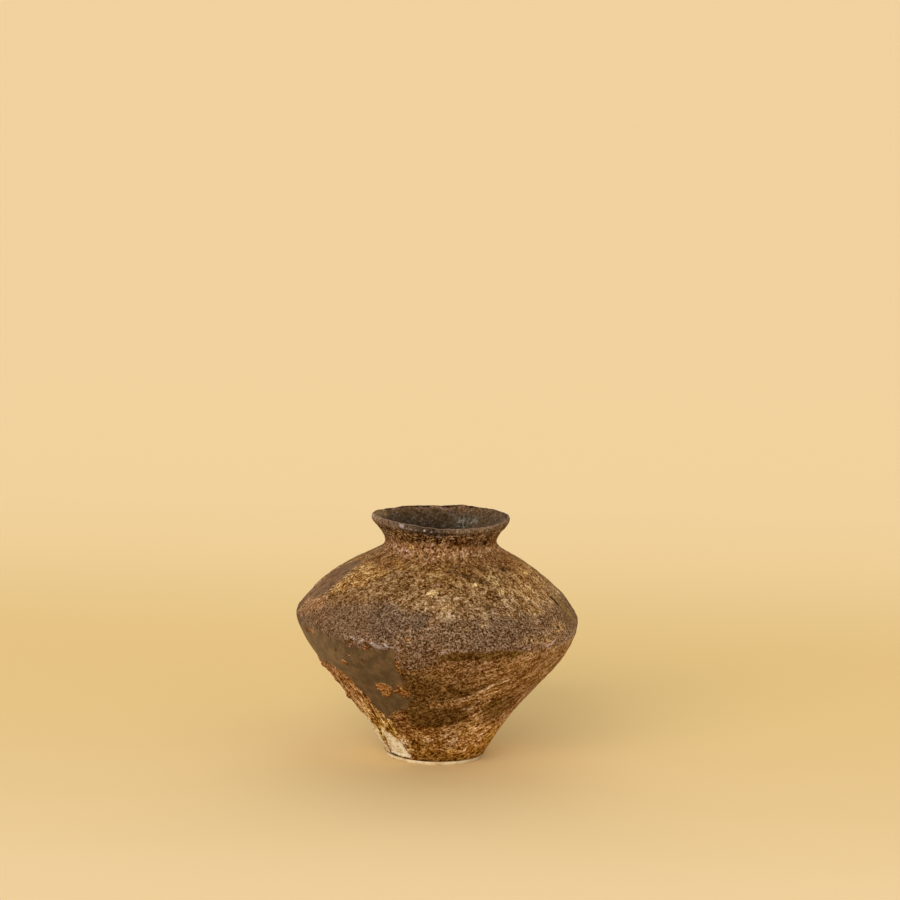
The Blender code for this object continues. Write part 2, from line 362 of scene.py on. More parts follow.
# broad areas of a tone: strength, softness of the edge in mm, outline of (bearing, height)
coatFields = {
    "mauve": [
        (0.92, 5, [
            (-77, 85.7), (-66, 91.8), (-59, 95.3), (-48.5, 96.7), (-43, 100.3), (-35.5, 100.5),
            (-31.6, 103), (-25, 104.2), (-18, 101.2), (-13.7, 96), (-10.4, 98.1), (-3.8, 97.1),
            (0.8, 94.9), (-0.7, 87.2), (-7.3, 88.8), (-12.2, 87.4), (-14.2, 84.2), (-18.8, 80), (-25, 79),
            (-35, 78.5), (-46, 80), (-57, 80), (-70, 81),
        ]),
        (0.85, 4.4, [
            (-3.1, 86), (3, 88.4), (13.3, 88.2), (21.7, 86.8), (30, 87.4), (36, 86), (40, 84), (38, 80),
            (32.5, 79.6), (21, 80.4), (12.9, 80.3), (3, 79.7), (-2.1, 80.9),
        ]),
        (0.8, 3, [
            (150, 95), (175, 97), (-165, 94), (-150, 88), (-160, 80), (170, 79), (150, 81), (140, 88),
        ]),
        (0.7, 3, [(100, 90), (120, 92), (130, 86), (115, 80), (95, 81)]),
        (0.8, 1.6, [(88, 98), (85, 95), (84, 88), (80, 84.4), (76, 83), (84, 82), (104, 84), (108, 96)]),
    ],
    "umber": [
        (0.5, 3, [
            (-32, 96.7), (-26.7, 100.3), (-21.2, 100.9), (-15.8, 96.7), (-15.2, 90), (-15.8, 84),
            (-21, 82.3), (-26.8, 83.5), (-31.7, 89.7),
        ]),
        (0.75, 2.4, [
            (-14.7, 96.3), (-8.6, 98.7), (-2.9, 97.6), (-3.5, 92.8), (-9.8, 91.5), (-13.6, 91.1),
        ]),
        (0.4, 2.2, [(10, 80), (40, 79.5), (40, 84), (10, 84)]),
    ],
    "lichen": [
        (0.8, 1, [
            (77, 99.5), (84, 99), (85, 94), (84, 89), (82, 85.5), (76.5, 86), (75, 90), (74.5, 94),
        ]),
    ],
    "mist": [
        (0.9, 2, [(-78, 79.5), (-73, 83.6), (-67, 85.2), (-61, 83), (-58, 80)]),
        (0.5, 2.6, [(-60, 80.5), (-44, 82), (-44, 79.5), (-60, 79)]),
    ],
    "bark": [
        (0.9, 2.4, [(-18.5, 79.4), (1.1, 79.8), (2, 74.7), (-3.7, 67.8), (-11.6, 66.4), (-18.5, 66.4)]),
    ],
    "golden": [
        (0.85, 1.8, [
            (-68.5, 101), (-67, 105.7), (-68, 109.4), (-70.5, 112.7), (-67, 115.4), (-52.4, 116.3),
            (-43.4, 115.3), (-40.7, 111.8), (-43.8, 109.5), (-48.1, 106.9), (-53.7, 104.9), (-59, 101.5),
            (-65, 98.5),
        ]),
        (0.7, 2.6, [(-175, 112), (-155, 114), (-140, 109), (-150, 103), (-172, 105)]),
    ],
    "fawn": [
        (0.9, 3, [
            (-66, 94), (-66, 98), (-58, 101), (-47, 106), (-40, 110), (-36, 115), (-24, 117), (-14, 113),
            (-11, 106), (-16, 102), (-26, 104), (-36, 101.5), (-44, 100), (-52, 97), (-60, 94),
        ]),
        (0.6, 3, [(100, 106), (125, 110), (140, 106), (125, 98), (104, 99)]),
    ],
    "copper": [
        (0.85, 2.4, [
            (-84, 86), (-83, 92), (-77, 94.5), (-70, 98.5), (-62, 97), (-62.5, 92), (-67, 87.5),
            (-73, 84.5),
        ]),
    ],
    "chestnut": [(0.5, 3, [(-77, 84), (-78, 90), (-68, 93), (-58, 94), (-52, 90), (-56, 86), (-66, 82)])],
    "russet": [
        (0.55, 1.6, [
            (-31, 34), (-24, 36.5), (-17.8, 37.3), (-18.6, 28), (-21.5, 19.5), (-28, 18.5), (-32, 21),
            (-33, 26),
        ]),
    ],
    "straw": [
        (0.85, 1.8, [
            (-35, 17.5), (-30, 19.5), (-27, 18.2), (-20, 15.5), (-19, 9.5), (-26, 7.5), (-29, 11),
            (-33, 16),
        ]),
    ],
    "olive": [
        (1, 0.8, [
            (-3, 76.5), (7, 79.3), (17, 79.6), (31.5, 79.2), (38, 77.5), (32.6, 74.6), (22, 74.3),
            (13.4, 74.7), (3.2, 74.2),
        ]),
        (0.85, 2.6, [
            (-18, 64.5), (-7.2, 66.2), (0.7, 61.3), (2.9, 54.3), (2.2, 47), (-6.7, 41.5), (-15.8, 40.7),
            (-16, 48), (-16.5, 54.4),
        ]),
        (0.88, 1.2, [
            (-4, 48), (4.3, 54), (16.2, 56.9), (30.2, 58.3), (36, 56.4), (24.6, 52.9), (14.9, 48.8),
            (4.9, 47.3),
        ]),
        (1, 1.8, [
            (-16.5, 39.5), (2.5, 41), (20, 42), (22.5, 37), (17.3, 30.7), (7.2, 27.3), (-7.4, 26.1),
            (-17.5, 28.2),
        ]),
        (0.85, 2.4, [
            (29.9, 42.7), (37.6, 45.9), (49.2, 43), (55, 36.4), (51, 31), (40, 29.9), (30.2, 36.9),
        ]),
        (0.8, 2, [(100, 72), (135, 77), (150, 74), (130, 66), (104, 64)]),
        (0.8, 2.6, [(150, 44), (178, 50), (190, 40), (172, 30), (152, 34)]),
        (0.8, 2.6, [(-150, 46), (-128, 50), (-120, 40), (-135, 30), (-152, 34)]),
        (0.7, 2, [(80, 50), (110, 58), (116, 52), (92, 42)]),
    ],
    "sand": [
        (0.4, 1, [
            (-8.8, 38.8), (2.3, 44.9), (15.1, 49.6), (27.3, 54), (35.3, 55.4), (34.1, 52.1), (24.6, 46.2),
            (15, 43.3), (5.4, 41.9),
        ]),
        (0.5, 3, [
            (-18, 25), (-3.7, 25.6), (10.6, 28.7), (26.8, 27.4), (36, 14), (15.3, 11.8), (-9.3, 11),
            (-23, 11),
        ]),
        (0.8, 3, [(4, 27), (14, 30), (30, 30), (48, 26), (48, 12), (20, 11), (4, 13)]),
        (0.55, 3, [(120, 24), (160, 28), (190, 22), (170, 11), (130, 10)]),
        (0.5, 1.4, [(-170, 52), (-140, 62), (-128, 60), (-150, 50)]),
    ],
    # painted shade: a darker band round the bottom of the wall, above the seam
    "footShade": [
        (0.22, 0.9, [
            (-27, 7.6), (-4.3, 7.8), (39.6, 7.6), (70, 7), (110, 7), (175, 6), (175, 3), (60, 3),
            (17.7, 3), (-26, 3),
        ]),
    ],
}
# strokes of each tone: bearing, height, half length, half width, rise, strength
coatStrokes = {
    "mauve": [
        (28, 94.5, 6, 3, 0, 0.35), (34, 90.6, 5, 2, 0, 0.5), (81, 101.5, 7, 2.6, 0, 0.5),
        (28, 94.1, 4, 1.6, 0, 0.45), (15, 86.2, 6, 1.6, 0, 0.6), (35, 85.4, 6, 1.8, 0, 0.6),
        (180, 88, 45, 6, 0, 0.5), (130, 86, 30, 4, 0, 0.5), (-130, 87, 34, 5, 0, 0.8),
        (-105, 118, 12, 3, 0, 0.4),
    ],
    "blond": [
        (-3.3, 107.5, 3, 1.8, 0, 1), (24.3, 110.8, 3, 2.2, 0, 1), (4.3, 112.5, 2.4, 1.5, 0, 0.5),
        (73, 111.6, 7, 1.8, -8, 0.7), (4.1, 101, 1.6, 1, 0, 0.4), (-31.4, 127.8, 2.4, 1.4, 0, 1.1),
        (30.4, 26.1, 2.6, 1.8, 0, 0.5), (36.1, 113.7, 2.4, 1.4, 0, 0.6), (20.8, 93.2, 1.6, 1.1, 0, 0.25),
        (-43, 111, 3, 1, 25, 0.6), (38.6, 110.6, 3.4, 3, 0, 0.62), (39.6, 107, 3.6, 2.8, 0, 1.1),
        (13.3, 17.7, 3.4, 2.4, 0, 0.9), (-28.3, 14.6, 2.8, 2, 0, 1.2), (-24.6, 31.8, 2.6, 2, 0, 0.3),
        (-10, 110.5, 2.2, 1, 25, 0.6), (12, 107, 2, 1.2, 20, 0.7), (150, 104, 3, 1.6, 20, 0.8),
        (-140, 108, 3, 1.6, 20, 0.8),
    ],
    "rose": [
        (-54, 127, 6, 2.4, 0, 0.6), (-40, 125, 7, 2, 0, 0.8), (-12, 126.6, 5, 1.4, 0, 0.8),
        (60, 81.8, 13, 1.2, 3, 0.35), (-70, 122, 8, 2, 0, 0.5), (-2, 92, 5, 2.4, 0, 0.5),
        (30, 100, 6, 2.4, -10, 0.5), (10, 110.5, 4, 1.4, 0, 0.4), (-1.4, 111.6, 3.6, 2.2, 0, 0.7),
        (21.6, 114.2, 3, 1.2, 0, 0.4), (120, 124, 10, 2, 0, 0.6),
    ],
    "pale": [
        (36, 136, 8, 1.8, 0, 0.54), (14, 136.6, 6, 1.4, 0, 0.45), (-31.4, 127.6, 2, 1.1, 0, 1),
        (-38.7, 110, 1.8, 1, 30, 0.7), (-3.3, 107.5, 2.8, 1.9, 0, 0.95), (36.1, 113.7, 3, 1.6, 0, 0.9),
        (24.3, 110.8, 2.2, 1.6, 0, 0.85), (20.8, 93.2, 1.8, 1.2, 0, 0.9), (4.1, 101, 2.2, 1.2, 0, 0.8),
        (1, 124, 3.4, 0.9, 0, 0.7), (58, 112.5, 9, 3.4, -30, 0.5), (54, 102, 8, 3, -20, 0.35),
        (50, 82, 10, 3, 4, 0.45), (60, 86, 8, 3, 0, 0.5), (4, 101.3, 8, 3.2, 8, 0.6),
        (-4, 107.6, 6, 3, 10, 0.6), (16, 105.6, 9, 3, 5, 0.45), (36, 97, 7, 3, -8, 0.5),
        (48, 106, 11, 4, -18, 0.6), (41, 112, 4.6, 2.6, -20, 0.7), (-9, 112, 7, 2.2, 15, 0.45),
        (50, 97, 10, 4, -10, 0.5), (54, 75.5, 5, 2.4, 0, 0.6), (40, 83.6, 7, 2, 0, 0.5),
        (-18, 104, 7, 2.4, 10, 0.35), (12, 92, 8, 2.6, 5, 0.4), (140, 103, 16, 5, -10, 0.7),
        (175, 106, 12, 4, 6, 0.6), (-160, 100, 14, 4, 10, 0.5), (105, 108, 10, 3.5, -12, 0.6),
        (-115, 104, 9, 3, 12, 0.4), (25, 54, 20, 1.4, 30, 0.65), (21, 41.5, 13, 1.5, 24, 0.5),
        (36, 68, 14, 1.6, 24, 0.35), (55, 57, 16, 2, 32, 0.35), (12, 21.5, 4.5, 3, 20, 0.6),
        (20, 18.5, 4, 2.6, 10, 0.5), (-4, 17.5, 4, 3, 0, 0.5), (7, 27.5, 3, 2, 0, 0.3),
        (-12, 9, 4, 2, 0, 0.35), (28, 10, 5, 2.5, 20, 0.4), (120, 20, 8, 4, 20, 0.5),
        (160, 26, 12, 3, 26, 0.4), (-140, 50, 18, 2, 28, 0.5), (-165, 36, 16, 2.4, 26, 0.5),
        (100, 44, 16, 2, 28, 0.4), (140, 62, 18, 1.6, 26, 0.4),
    ],
    "golden": [
        (-53, 110, 9, 3.2, -28, 0.9), (-44, 114, 8, 2.4, -20, 0.7), (-36, 118.5, 9, 2.2, -10, 0.7),
        (-60, 104, 8, 2.6, -30, 0.8), (-22, 112, 8, 2.4, 10, 0.35), (-2, 117, 12, 2, 0, 0.5),
        (-12, 86, 6, 1.8, 0, 0.5), (-3, 95, 6, 2, 10, 0.35), (20, 117.5, 6, 1.4, 0, 0.3),
        (29, 25.8, 3.6, 2.2, 20, 0.9), (34, 21.5, 3, 2.4, 20, 0.5), (-158, 110, 14, 4, -20, 0.8),
        (110, 99, 12, 3, 10, 0.6), (-95, 104, 8, 3, 70, 0.9), (160, 14, 8, 4, 0, 0.6),
        (-120, 24, 9, 4, 30, 0.8),
    ],
    "rust": [
        (-70, 91, 8, 3, -35, 0.3), (-61, 80.3, 3.2, 1, 0, 1), (-86, 104, 9, 1.6, 75, 0.9),
        (-92, 113, 9, 2, 60, 0.9), (-74, 56, 7, 3, -60, 1), (-72, 50, 8, 3.4, -60, 1),
        (-66, 43, 7, 2.6, -55, 0.9), (-47, 118, 8, 1.6, 0, 0.45), (50, 119, 7, 2, 0, 0.4),
        (8, 17, 5, 2, 0, 0.3), (-24, 34, 4.5, 3, 30, 0.5), (-25, 31, 3.4, 3, 60, 0.7),
        (-17.6, 70, 1.4, 4.5, 0, 0.7), (-20, 22, 4, 3, 30, 0.3), (-20, 62, 3, 5, 0, 0.3),
        (60, 88, 8, 2, 0, 0.3), (100, 70, 10, 2, 10, 0.5), (-170, 30, 14, 4, 25, 0.7),
        (-112, 60, 12, 5, 40, 0.8), (150, 45, 8, 4, 20, 0.7),
    ],
    "pit": [
        (74.4, 97, 3.2, 1.2, 84, 2), (73.4, 99.2, 2.4, 0.8, 84, 1.2), (-12.5, 128.7, 0.8, 0.7, 0, 1),
        (-7.4, 128.6, 0.8, 0.7, 0, 1), (-13.8, 122.8, 0.9, 0.7, 0, 1), (8.7, 129.2, 0.9, 0.8, 0, 1.2),
        (-24.1, 122.8, 0.9, 0.7, 0, 1), (-2.7, 121.2, 0.9, 0.7, 0, 1), (50.5, 130.1, 1.4, 1.1, 0, 1.5),
        (-45, 122.3, 0.8, 0.7, 0, 1), (51.4, 90.2, 0.9, 0.8, 0, 1), (59.6, 86.4, 1.4, 0.9, 0, 1.2),
        (52.1, 100.6, 1, 0.8, 0, 1), (34.1, 104.8, 0.9, 0.8, 0, 1), (7.4, 99.2, 0.8, 0.7, 0, 1),
        (24.9, 98.6, 0.8, 0.7, 0, 1), (-11, 139, 1.4, 0.6, 0, 0.8), (-3, 138.6, 3, 0.8, 0, 0.7),
        (-20, 133.5, 4, 0.7, 0, 0.6), (-63, 6.2, 3.5, 0.7, -20, 1.2), (-27.5, 12.5, 2.4, 0.7, -60, 0.8),
        (150, 92, 1, 0.8, 0, 1), (-120, 98, 1, 0.9, 0, 1), (178, 101, 1, 0.9, 0, 1),
    ],
    "dark": [
        (9.5, 116.6, 6, 1.8, -6, 0.95), (19, 115, 6, 2, -10, 0.9), (29, 112.2, 6, 2, -22, 0.9),
        (10.6, 101.9, 3, 1.6, 30, 0.7), (26, 101.4, 3.6, 2.2, 0, 0.95), (12, 118.6, 7, 1.2, -4, 0.6),
        (57, 115.8, 9, 1.8, -16, 0.8), (36, 117.6, 5, 1.6, 0, 0.6), (-45, 135, 8, 2.6, 0, 1.2),
        (38, 111.6, 2.6, 1.4, 0, 0.3), (-20, 108.5, 8, 1.8, 12, 0.4), (-34, 104, 7, 1.6, 8, 0.35),
        (-24, 134, 11, 2.8, 0, 1), (-22, 130.6, 5, 1.2, 0, 0.6), (48, 131, 5, 2, 0, 0.5),
        (44, 77, 8, 1.3, 6, 0.6), (12, 66, 12, 1.3, 18, 0.45), (-4, 58, 9, 1.4, 15, 0.4),
        (20, 110, 6, 1.3, -12, 0.4), (35, 95, 4, 1.6, -20, 0.35), (-30, 99, 7, 1.6, 10, 0.35),
        (46, 92.6, 3, 1.2, 0, 0.4), (52, 66, 15, 1.6, 26, 0.4), (66, 60, 14, 1.6, 32, 0.4),
        (60, 48, 12, 1.6, 35, 0.4), (36, 33, 7, 1.6, 30, 0.5), (-20, 15, 4, 2, 0, 0.55),
        (4, 9, 3, 1.8, 0, 0.5), (40, 16, 4, 1.6, 35, 0.4), (-6, 5, 5, 1.4, 0, 0.5),
        (24, 5, 6, 1.4, 0, 0.45), (120, 72, 24, 3, 10, 0.7), (165, 36, 16, 5, 26, 0.8),
        (-135, 38, 18, 5, 30, 0.8), (110, 52, 16, 2.6, 28, 0.7), (-150, 66, 20, 2.4, 22, 0.6),
        (150, 96, 12, 2.4, -10, 0.5), (-125, 110, 10, 2, 10, 0.5), (95, 30, 9, 3, 30, 0.6),
        (-105, 46, 8, 3, 60, 0.6),
    ],
}
pushedOf = {"pit": 0.25, "blond": 0.25}  # tones whose strokes stay closer to their places
stroke = {tone: marks(strokes, pushedOf.get(tone, 1.0)) for tone, strokes in coatStrokes.items()}
ragged = 0.5 * softNoise(plainWall, 2.2, 25) + 0.75 * softNoise(plainWall, 5.0, 26)
field = {tone: np.zeros(markBearing.shape) for tone in coatFields}
for tone, areas in coatFields.items():
    for strength, soft, corners in areas:
        depth = patch(corners) + ragged * min(soft, 3.0)
        field[tone] = np.maximum(field[tone], strength * ease(depth, -soft, soft))
print("coats laid out")


# Relief

wallRelief = {
    "dent": 0.26, "dentSize": 24, "finger": 0.12, "fingerSize": 9,  # what hands left in the clay
    "crustThickness": 0.34, "lump": 0.2, "lumpSize": 3.4, "grit": 0.13, "gritSize": 1.9,
    "rustLump": 0.5, "darkSink": 0.22, "paleRise": 0.14, "claySink": 0.35,
    # the glaze gathered in beads along the left of the keel: relief, height on the wall, half width, size
    "keelBead": 0.3, "beadHeight": 81.6, "beadWidth": 1.5, "beadSize": 3.4,
    # strokes like those of the tones: the split at the right, the torn edge at the left, shallow hollows
    "split": [(74.3, 97.3, 4.4, 1.3, 84, 0.8)],
    "bumps": [
        (-72, 57, 3.4, 1.8, 0, 1.2), (-72, 37.4, 3.4, 2, 0, 1.5), (-76, 46, 5, 2, 20, 0.6),
        (86, 109.5, 2.6, 1.2, 0, 1),
    ],
    "hollows": [(82, 92, 9, 5, 0, 0.8), (80, 105, 12, 4, 0, 0.5)],
    "rimWave": 0.28, "rimWaveSize": 7, "insideRipple": 0.25, "rippleSize": 12,
}


def reliefOf(look):
    # millimetres along the wall's normal: dents + crust * (thickness + lumps + grit) + single features
    hands = look["dent"] * softNoise(plainWall, look["dentSize"], 11)
    hands += look["finger"] * softNoise(plainWall * (1, 1, 1.6), look["fingerSize"], 12)
    lumps = look["lump"] * softNoise(plainWall, look["lumpSize"], 13)
    lumps += look["grit"] * softNoise(plainWall, look["gritSize"], 14)
    footFade = above(2.6, 5.5)
    rusty = stroke["rust"] * lowerWall * (1 + 1.2 * softNoise(plainWall, 3.0, 15))
    toned = look["rustLump"] * rusty - look["darkSink"] * stroke["dark"] + look["paleRise"] * stroke["pale"]
    made = hands + crust * (look["crustThickness"] + lumps * footFade + toned)
    made -= look["claySink"] * ease(clayDepth, -0.8, 0.6) * footFade
    bead = hump(ringRun, runAt(look["beadHeight"]), look["beadWidth"]) * rightOf(-58, -50) * leftOf(-21, -15)
    made += look["keelBead"] * bead * (0.5 + softNoise(plainWall, look["beadSize"], 16))
    made += marks(look["bumps"], 0.4) - marks(look["split"], 0.3) - marks(look["hollows"])
    rim = ease(fromTop, -9, -3) * (1 - ease(fromTop, 2, 8))
    made += rim * look["rimWave"] * softNoise(plainWall, look["rimWaveSize"], 17)
    ripple = look["insideRipple"] * softNoise(plainWall * (1, 1, 2.2), look["rippleSize"], 18)
    return np.where(outside, made, made * rim + ripple * (1 - rim))


def insideBox(points):
    # nothing stands outside the box of the solids
    low, high = np.array(cadBox) * 1000
    return np.clip(points, low, high)


wall = insideBox(plainWall + plainNormal * reliefOf(wallRelief)[..., None])
wallNormal = gridNormals(wall)
print("relief worked out")


# Colour of the coats

def paint(red, green, blue):
    # a colour as the eye sees it, 0 to 255, turned into linear light
    c = np.array([red, green, blue]) / 255
    return np.where(c <= 0.04045, c / 12.92, ((c + 0.055) / 1.055) ** 2.4)


def toneAt(place, tones):
    # the colour at each place, straight from one (place, tone) of the list to the next in linear light
    at, colours = zip(*tones)
    colours = np.array([paint(*c) for c in colours])
    return np.stack([np.interp(place, at, colours[:, k]) for k in range(3)], -1)


def laidOver(colour, tone, share):
    # colour + (tone - colour) * share
    return colour + (paint(*tone) - colour) * share[..., None]


coatTones = {
    # ground tone at each height
    "ground": [
        (3, (130, 86, 29)), (8, (131, 87, 29)), (14, (129, 86, 27)), (22, (127, 85, 31)),
        (30, (114, 77, 34)), (40, (107, 73, 34)), (52, (109, 74, 34)), (64, (110, 76, 36)),
        (74, (115, 80, 41)), (80, (106, 79, 50)), (84, (106, 79, 54)), (90, (118, 91, 61)),
        (98, (128, 96, 62)), (106, (130, 96, 58)), (113, (127, 90, 49)), (119, (124, 86, 46)),
        (122, (130, 92, 53)), (124.5, (138, 101, 67)), (126.5, (133, 96, 62)), (129, (116, 81, 46)),
        (132, (100, 68, 36)), (134.5, (90, 62, 32)), (137, (82, 61, 40)), (139, (85, 67, 50)),
        (142, (90, 73, 56)),
    ],
    # the ochre band from the foot to its top
    "ochre": [
        (4, (197, 166, 97)), (16, (187, 150, 68)), (28, (166, 124, 58)), (40, (148, 104, 51)),
        (52, (145, 99, 48)), (60, (136, 93, 50)),
    ],
    "mauve": (104, 77, 54), "lichen": (116, 91, 54), "mist": (107, 87, 68), "pit": (34, 20, 10),
    "umber": (87, 66, 48), "pale": (154, 119, 76), "blond": (172, 136, 84), "golden": (148, 105, 54),
    "rust": (140, 92, 46), "fawn": (121, 87, 51), "copper": (150, 109, 72), "rose": (142, 106, 79),
    "russet": (106, 68, 26), "straw": (168, 132, 70), "bark": (94, 68, 38), "chestnut": (117, 83, 54),
    "olive": (85, 57, 20), "sand": (140, 100, 50), "footShade": (92, 59, 22), "dark": (88, 60, 30),
    "fringe": (136, 88, 38),
    # how much paler the right side is, partly its own paler tone and partly painted light where the lamps
    # leave it in shade, and the bearing where that begins at each height
    "rightPaleAndLit": (0.48, 0.44, 0.28), "rightPaleAndLitLow": (0.72, 0.88, 1.22), "rightPaleAndLitFar": (0.25, 0.35, 0.55),
    "rightPaleAndLitFrom": [
        (0, 6), (70, 8), (77, 12), (83, 18), (88, 30), (100, 30), (110, 38), (116, 50), (128, 48),
        (136, 30), (142, 20),
    ],
    # how the lip's tone changes round it
    "lip": [
        (-180, 1), (-80, 2.3), (-58, 2.1), (-48, 1.45), (-40, 1.3), (-28, 1), (-18, 0.58), (3, 0.58),
        (9, 1.05), (22, 1.65), (60, 1.4), (90, 1.2), (180, 1),
    ],
    # powers of red, green and blue: broad clouds and daubs make it lighter and darker, patches of a few
    # millimetres turn it yellower and pinker
    "cloud": (0.2, 0.27, 0.34), "hue": (-0.01, 0.028, -0.06),
    # size in mm of the clouds; share and size of the daubs; share of the strokes' ragged edge
    "cloudSize": 15, "daubs": (1.1, 5, 0.6, 2.6), "hueSizes": (2.6, 5.5), "strokeEdge": 0.16,
    # painted shade along the foot: how much darker the wall's lowest millimetres are
    "footLineShade": 0.45,
}


# daubs of the slip: longer down the wall than across it, and leaning to the right, most at the left;
# their noise runs straight across the front and bows back behind the pot, so that it closes on itself
daubPath = {"radius": 60.0, "from": -100.0, "to": 86.0, "bow": 40.0, "squash": 0.45, "leanFrom": 100.0,
            "lean": [(-180, -0.1), (-120, 0.9), (-70, 0.9), (-10, 0.6), (40, -0.1), (180, -0.1)]}


def together(*parts):
    # arrays side by side along a new last axis
    return np.stack(np.broadcast_arrays(*parts), -1)


def daubPlace(look):
    # s = bearing * radius - lean * climb, wrapped; it runs straight from "from" to "to"
    # then it returns by (-length * t, bow * sin(pi t)), where t goes from 0 to 1
    girth = 2 * math.pi * look["radius"]
    lean = np.interp(columnBearing, *np.array(look["lean"]).T)
    s = np.radians(columnBearing) * look["radius"] - lean * (ringRun - runAt(look["leanFrom"]))
    s = (s - look["from"]) % girth + look["from"]
    length = look["to"] - look["from"]
    t = np.clip((s - look["to"]) / (girth - length), 0, 1)
    across = np.minimum(s, look["to"]) - length * t + girth / 2
    return together(across, look["squash"] * ringRun, -look["bow"] * np.sin(math.pi * t))


daubCoord = daubPlace(daubPath)


def sideToneAndPaintedLight(tones):
    # how many times as much red, green and blue there is: at the right, partly a paler tone and partly
    # painted light; round the lip; and along the foot, darker as painted shade
    begins = np.interp(ringHeight, *np.array(tones["rightPaleAndLitFrom"]).T)
    rightPaleAndLit = ease(columnBearing, begins, begins + 30) * leftOf(120, 150)
    paler = np.array(tones["rightPaleAndLit"]) + (np.array(tones["rightPaleAndLitLow"]) - tones["rightPaleAndLit"]) * lowerWall[..., None]
    far = lowerWall * rightOf(50, 72) * leftOf(110, 140)
    lipShare = (np.interp(columnBearing, *np.array(tones["lip"]).T) - 1) * above(136, 138.5)
    more = (1 + paler * rightPaleAndLit[..., None]) * (1 + np.array(tones["rightPaleAndLitFar"]) * far[..., None])
    return more * (1 + lipShare)[..., None] * (1 - tones["footLineShade"] * below(3.2, 4.4))[..., None]


def coatColour(tones):
    # the ground tone by height, * e to the power (cloud * noise), then each area and each stroke laid over it
    colour = toneAt(ringHeight + 1.6 * pushRound, tones["ground"])
    broad, broadSize, small, smallSize = tones["daubs"]
    daubs = broad * softNoise(daubCoord, broadSize, 22) + small * softNoise(daubCoord, smallSize, 27)
    nearFoot = lowerWall * below(26, 38)
    livelier = 1 + 0.35 * rightOf(15, 35) * (1 - lowerWall) + 0.3 * nearFoot
    clouds = softNoise(plainWall, tones["cloudSize"], 21) + daubs * (1 - 0.6 * field["mauve"]) * livelier
    colour *= np.exp(clouds[..., None] * tones["cloud"])
    hues = sum(softNoise(plainWall, size, 28 + k) for k, size in enumerate(tones["hueSizes"]))
    colour *= np.exp((hues * (1 + 1.6 * nearFoot))[..., None] * tones["hue"])
    for tone, share in field.items():
        colour = laidOver(colour, tones[tone], share)
    frayed = tones["strokeEdge"] * softNoise(plainWall, 2.6, 23)
    for tone in ("mauve", "golden", "rose", "pale", "blond", "rust", "dark", "pit"):
        colour = laidOver(colour, tones[tone], ease(stroke[tone] + frayed, 0.12, 0.8))
    # painted light at the right and painted shade along the foot, over the coat's own tones
    colour *= sideToneAndPaintedLight(tones)
    # the ochre band, from orange at its top to pale ochre at the foot
    band = toneAt(ringHeight + pushRound, tones["ochre"])
    colour += (band - colour) * (0.95 * ease(ochreDepth, -0.8, 1.2))[..., None]
    # rusty fringe where the crust ends at a pool: on the left, and on the crumbs
    fringe = ease(poolDepth, -3, -0.4) * lowerWall * (1 - ease(markBearing, -46, -36)) * below(74, 77)
    fringe = np.maximum(fringe, ease(crumb, -0.6, 0.4)) * ease(softNoise(plainWall, 5.0, 24), -0.7, 0.2)
    return laidOver(colour, tones["fringe"], 0.85 * fringe)


mouthTonesWithShade = {
    # tone by length down from the rim, in mm: the liner's own dark tone, made darker further down as painted
    # shade
    "down": [
        (0, (56, 38, 22)), (0.7, (74, 51, 31)), (1.5, (92, 64, 41)), (3, (98, 72, 46)), (5, (80, 60, 39)),
        (10, (66, 51, 33)), (16, (52, 40, 25)), (24, (35, 26, 14)), (40, (27, 19, 10)),
        (200, (40, 30, 19)),
    ],
    "chunk": (132, 102, 50), "grey": (165, 160, 142), "rosy": (84, 63, 40),
    # how strongly each is laid on; powers of red, green and blue for two sizes of noise
    "chunkShare": 0.7, "greyShare": 0.09, "rosyShare": 0.7,
    "cloud": (0.9, 1, 1.2), "broad": (0.34, 5), "small": (0.4, 2),
}

# where the inside is scratched, at the back on the right
scratched = (1 - outside) * rightOf(132, 142) * leftOf(160, 168)
scratched = scratched * ease(fromTop, 6, 10) * (1 - ease(fromTop, 21, 26))


def insideColour(tones):
    # tone by length down the inside, darker further down as painted shade, * e to the power (cloud * noise),
    # then rosy at the right, an ochre lump at the left of the rim and grey scratches at the back
    colour = toneAt(fromTop + 1.2 * pushRound, tones["down"])
    clouds = tones["broad"][0] * softNoise(plainWall, tones["broad"][1], 41)
    clouds += tones["small"][0] * softNoise(plainWall, tones["small"][1], 42)
    colour *= np.exp(clouds[..., None] * tones["cloud"])
    rosy = tones["rosyShare"] * rightOf(95, 110) * leftOf(140, 150) * (fromTop < 22)
    chunk = ease(-columnBearing, 66, 84) * (1 - ease(-columnBearing, 112, 124))
    chunk = chunk * (1 - ease(fromTop + pushUp, 4, 7)) * ease(fromTop, -0.5, 1)
    grey = tones["greyShare"] * scratched * ease(softNoise(plainWall, 2.0, 43), -0.2, 0.6)
    colour = laidOver(colour, tones["rosy"], rosy)
    colour = laidOver(colour, tones["chunk"], tones["chunkShare"] * chunk)
    return laidOver(colour, tones["grey"], grey)


coat = np.where(outside[..., None], coatColour(coatTones), insideColour(mouthTonesWithShade))

# streaks climb to the right round the lower wall: the angle is turned back by the height climbed
streakPath = {"rise": 28, "radius": 62, "across": 16, "along": 6.5}
# fibres run up and down the wall; above the keel the streaks' place carries the daubs instead
fibrePath = {"across": 44, "along": 8}
daubSize = 2.2


def onDrum(turn, path):
    # places on a drum, so that a noise closes on itself behind the pot
    return together(np.cos(turn) * path["across"], np.sin(turn) * path["across"], ringRun / path["along"])


climb = ringRun / (streakPath["radius"] * math.tan(math.radians(streakPath["rise"])))
streakCoord = onDrum(columnAngle[None, :] - climb, streakPath)
streakCoord = np.where(((ringHeight > 83) & outside)[..., None], daubCoord / daubSize, streakCoord)
fibreCoord = onDrum(columnAngle[None, :], fibrePath)

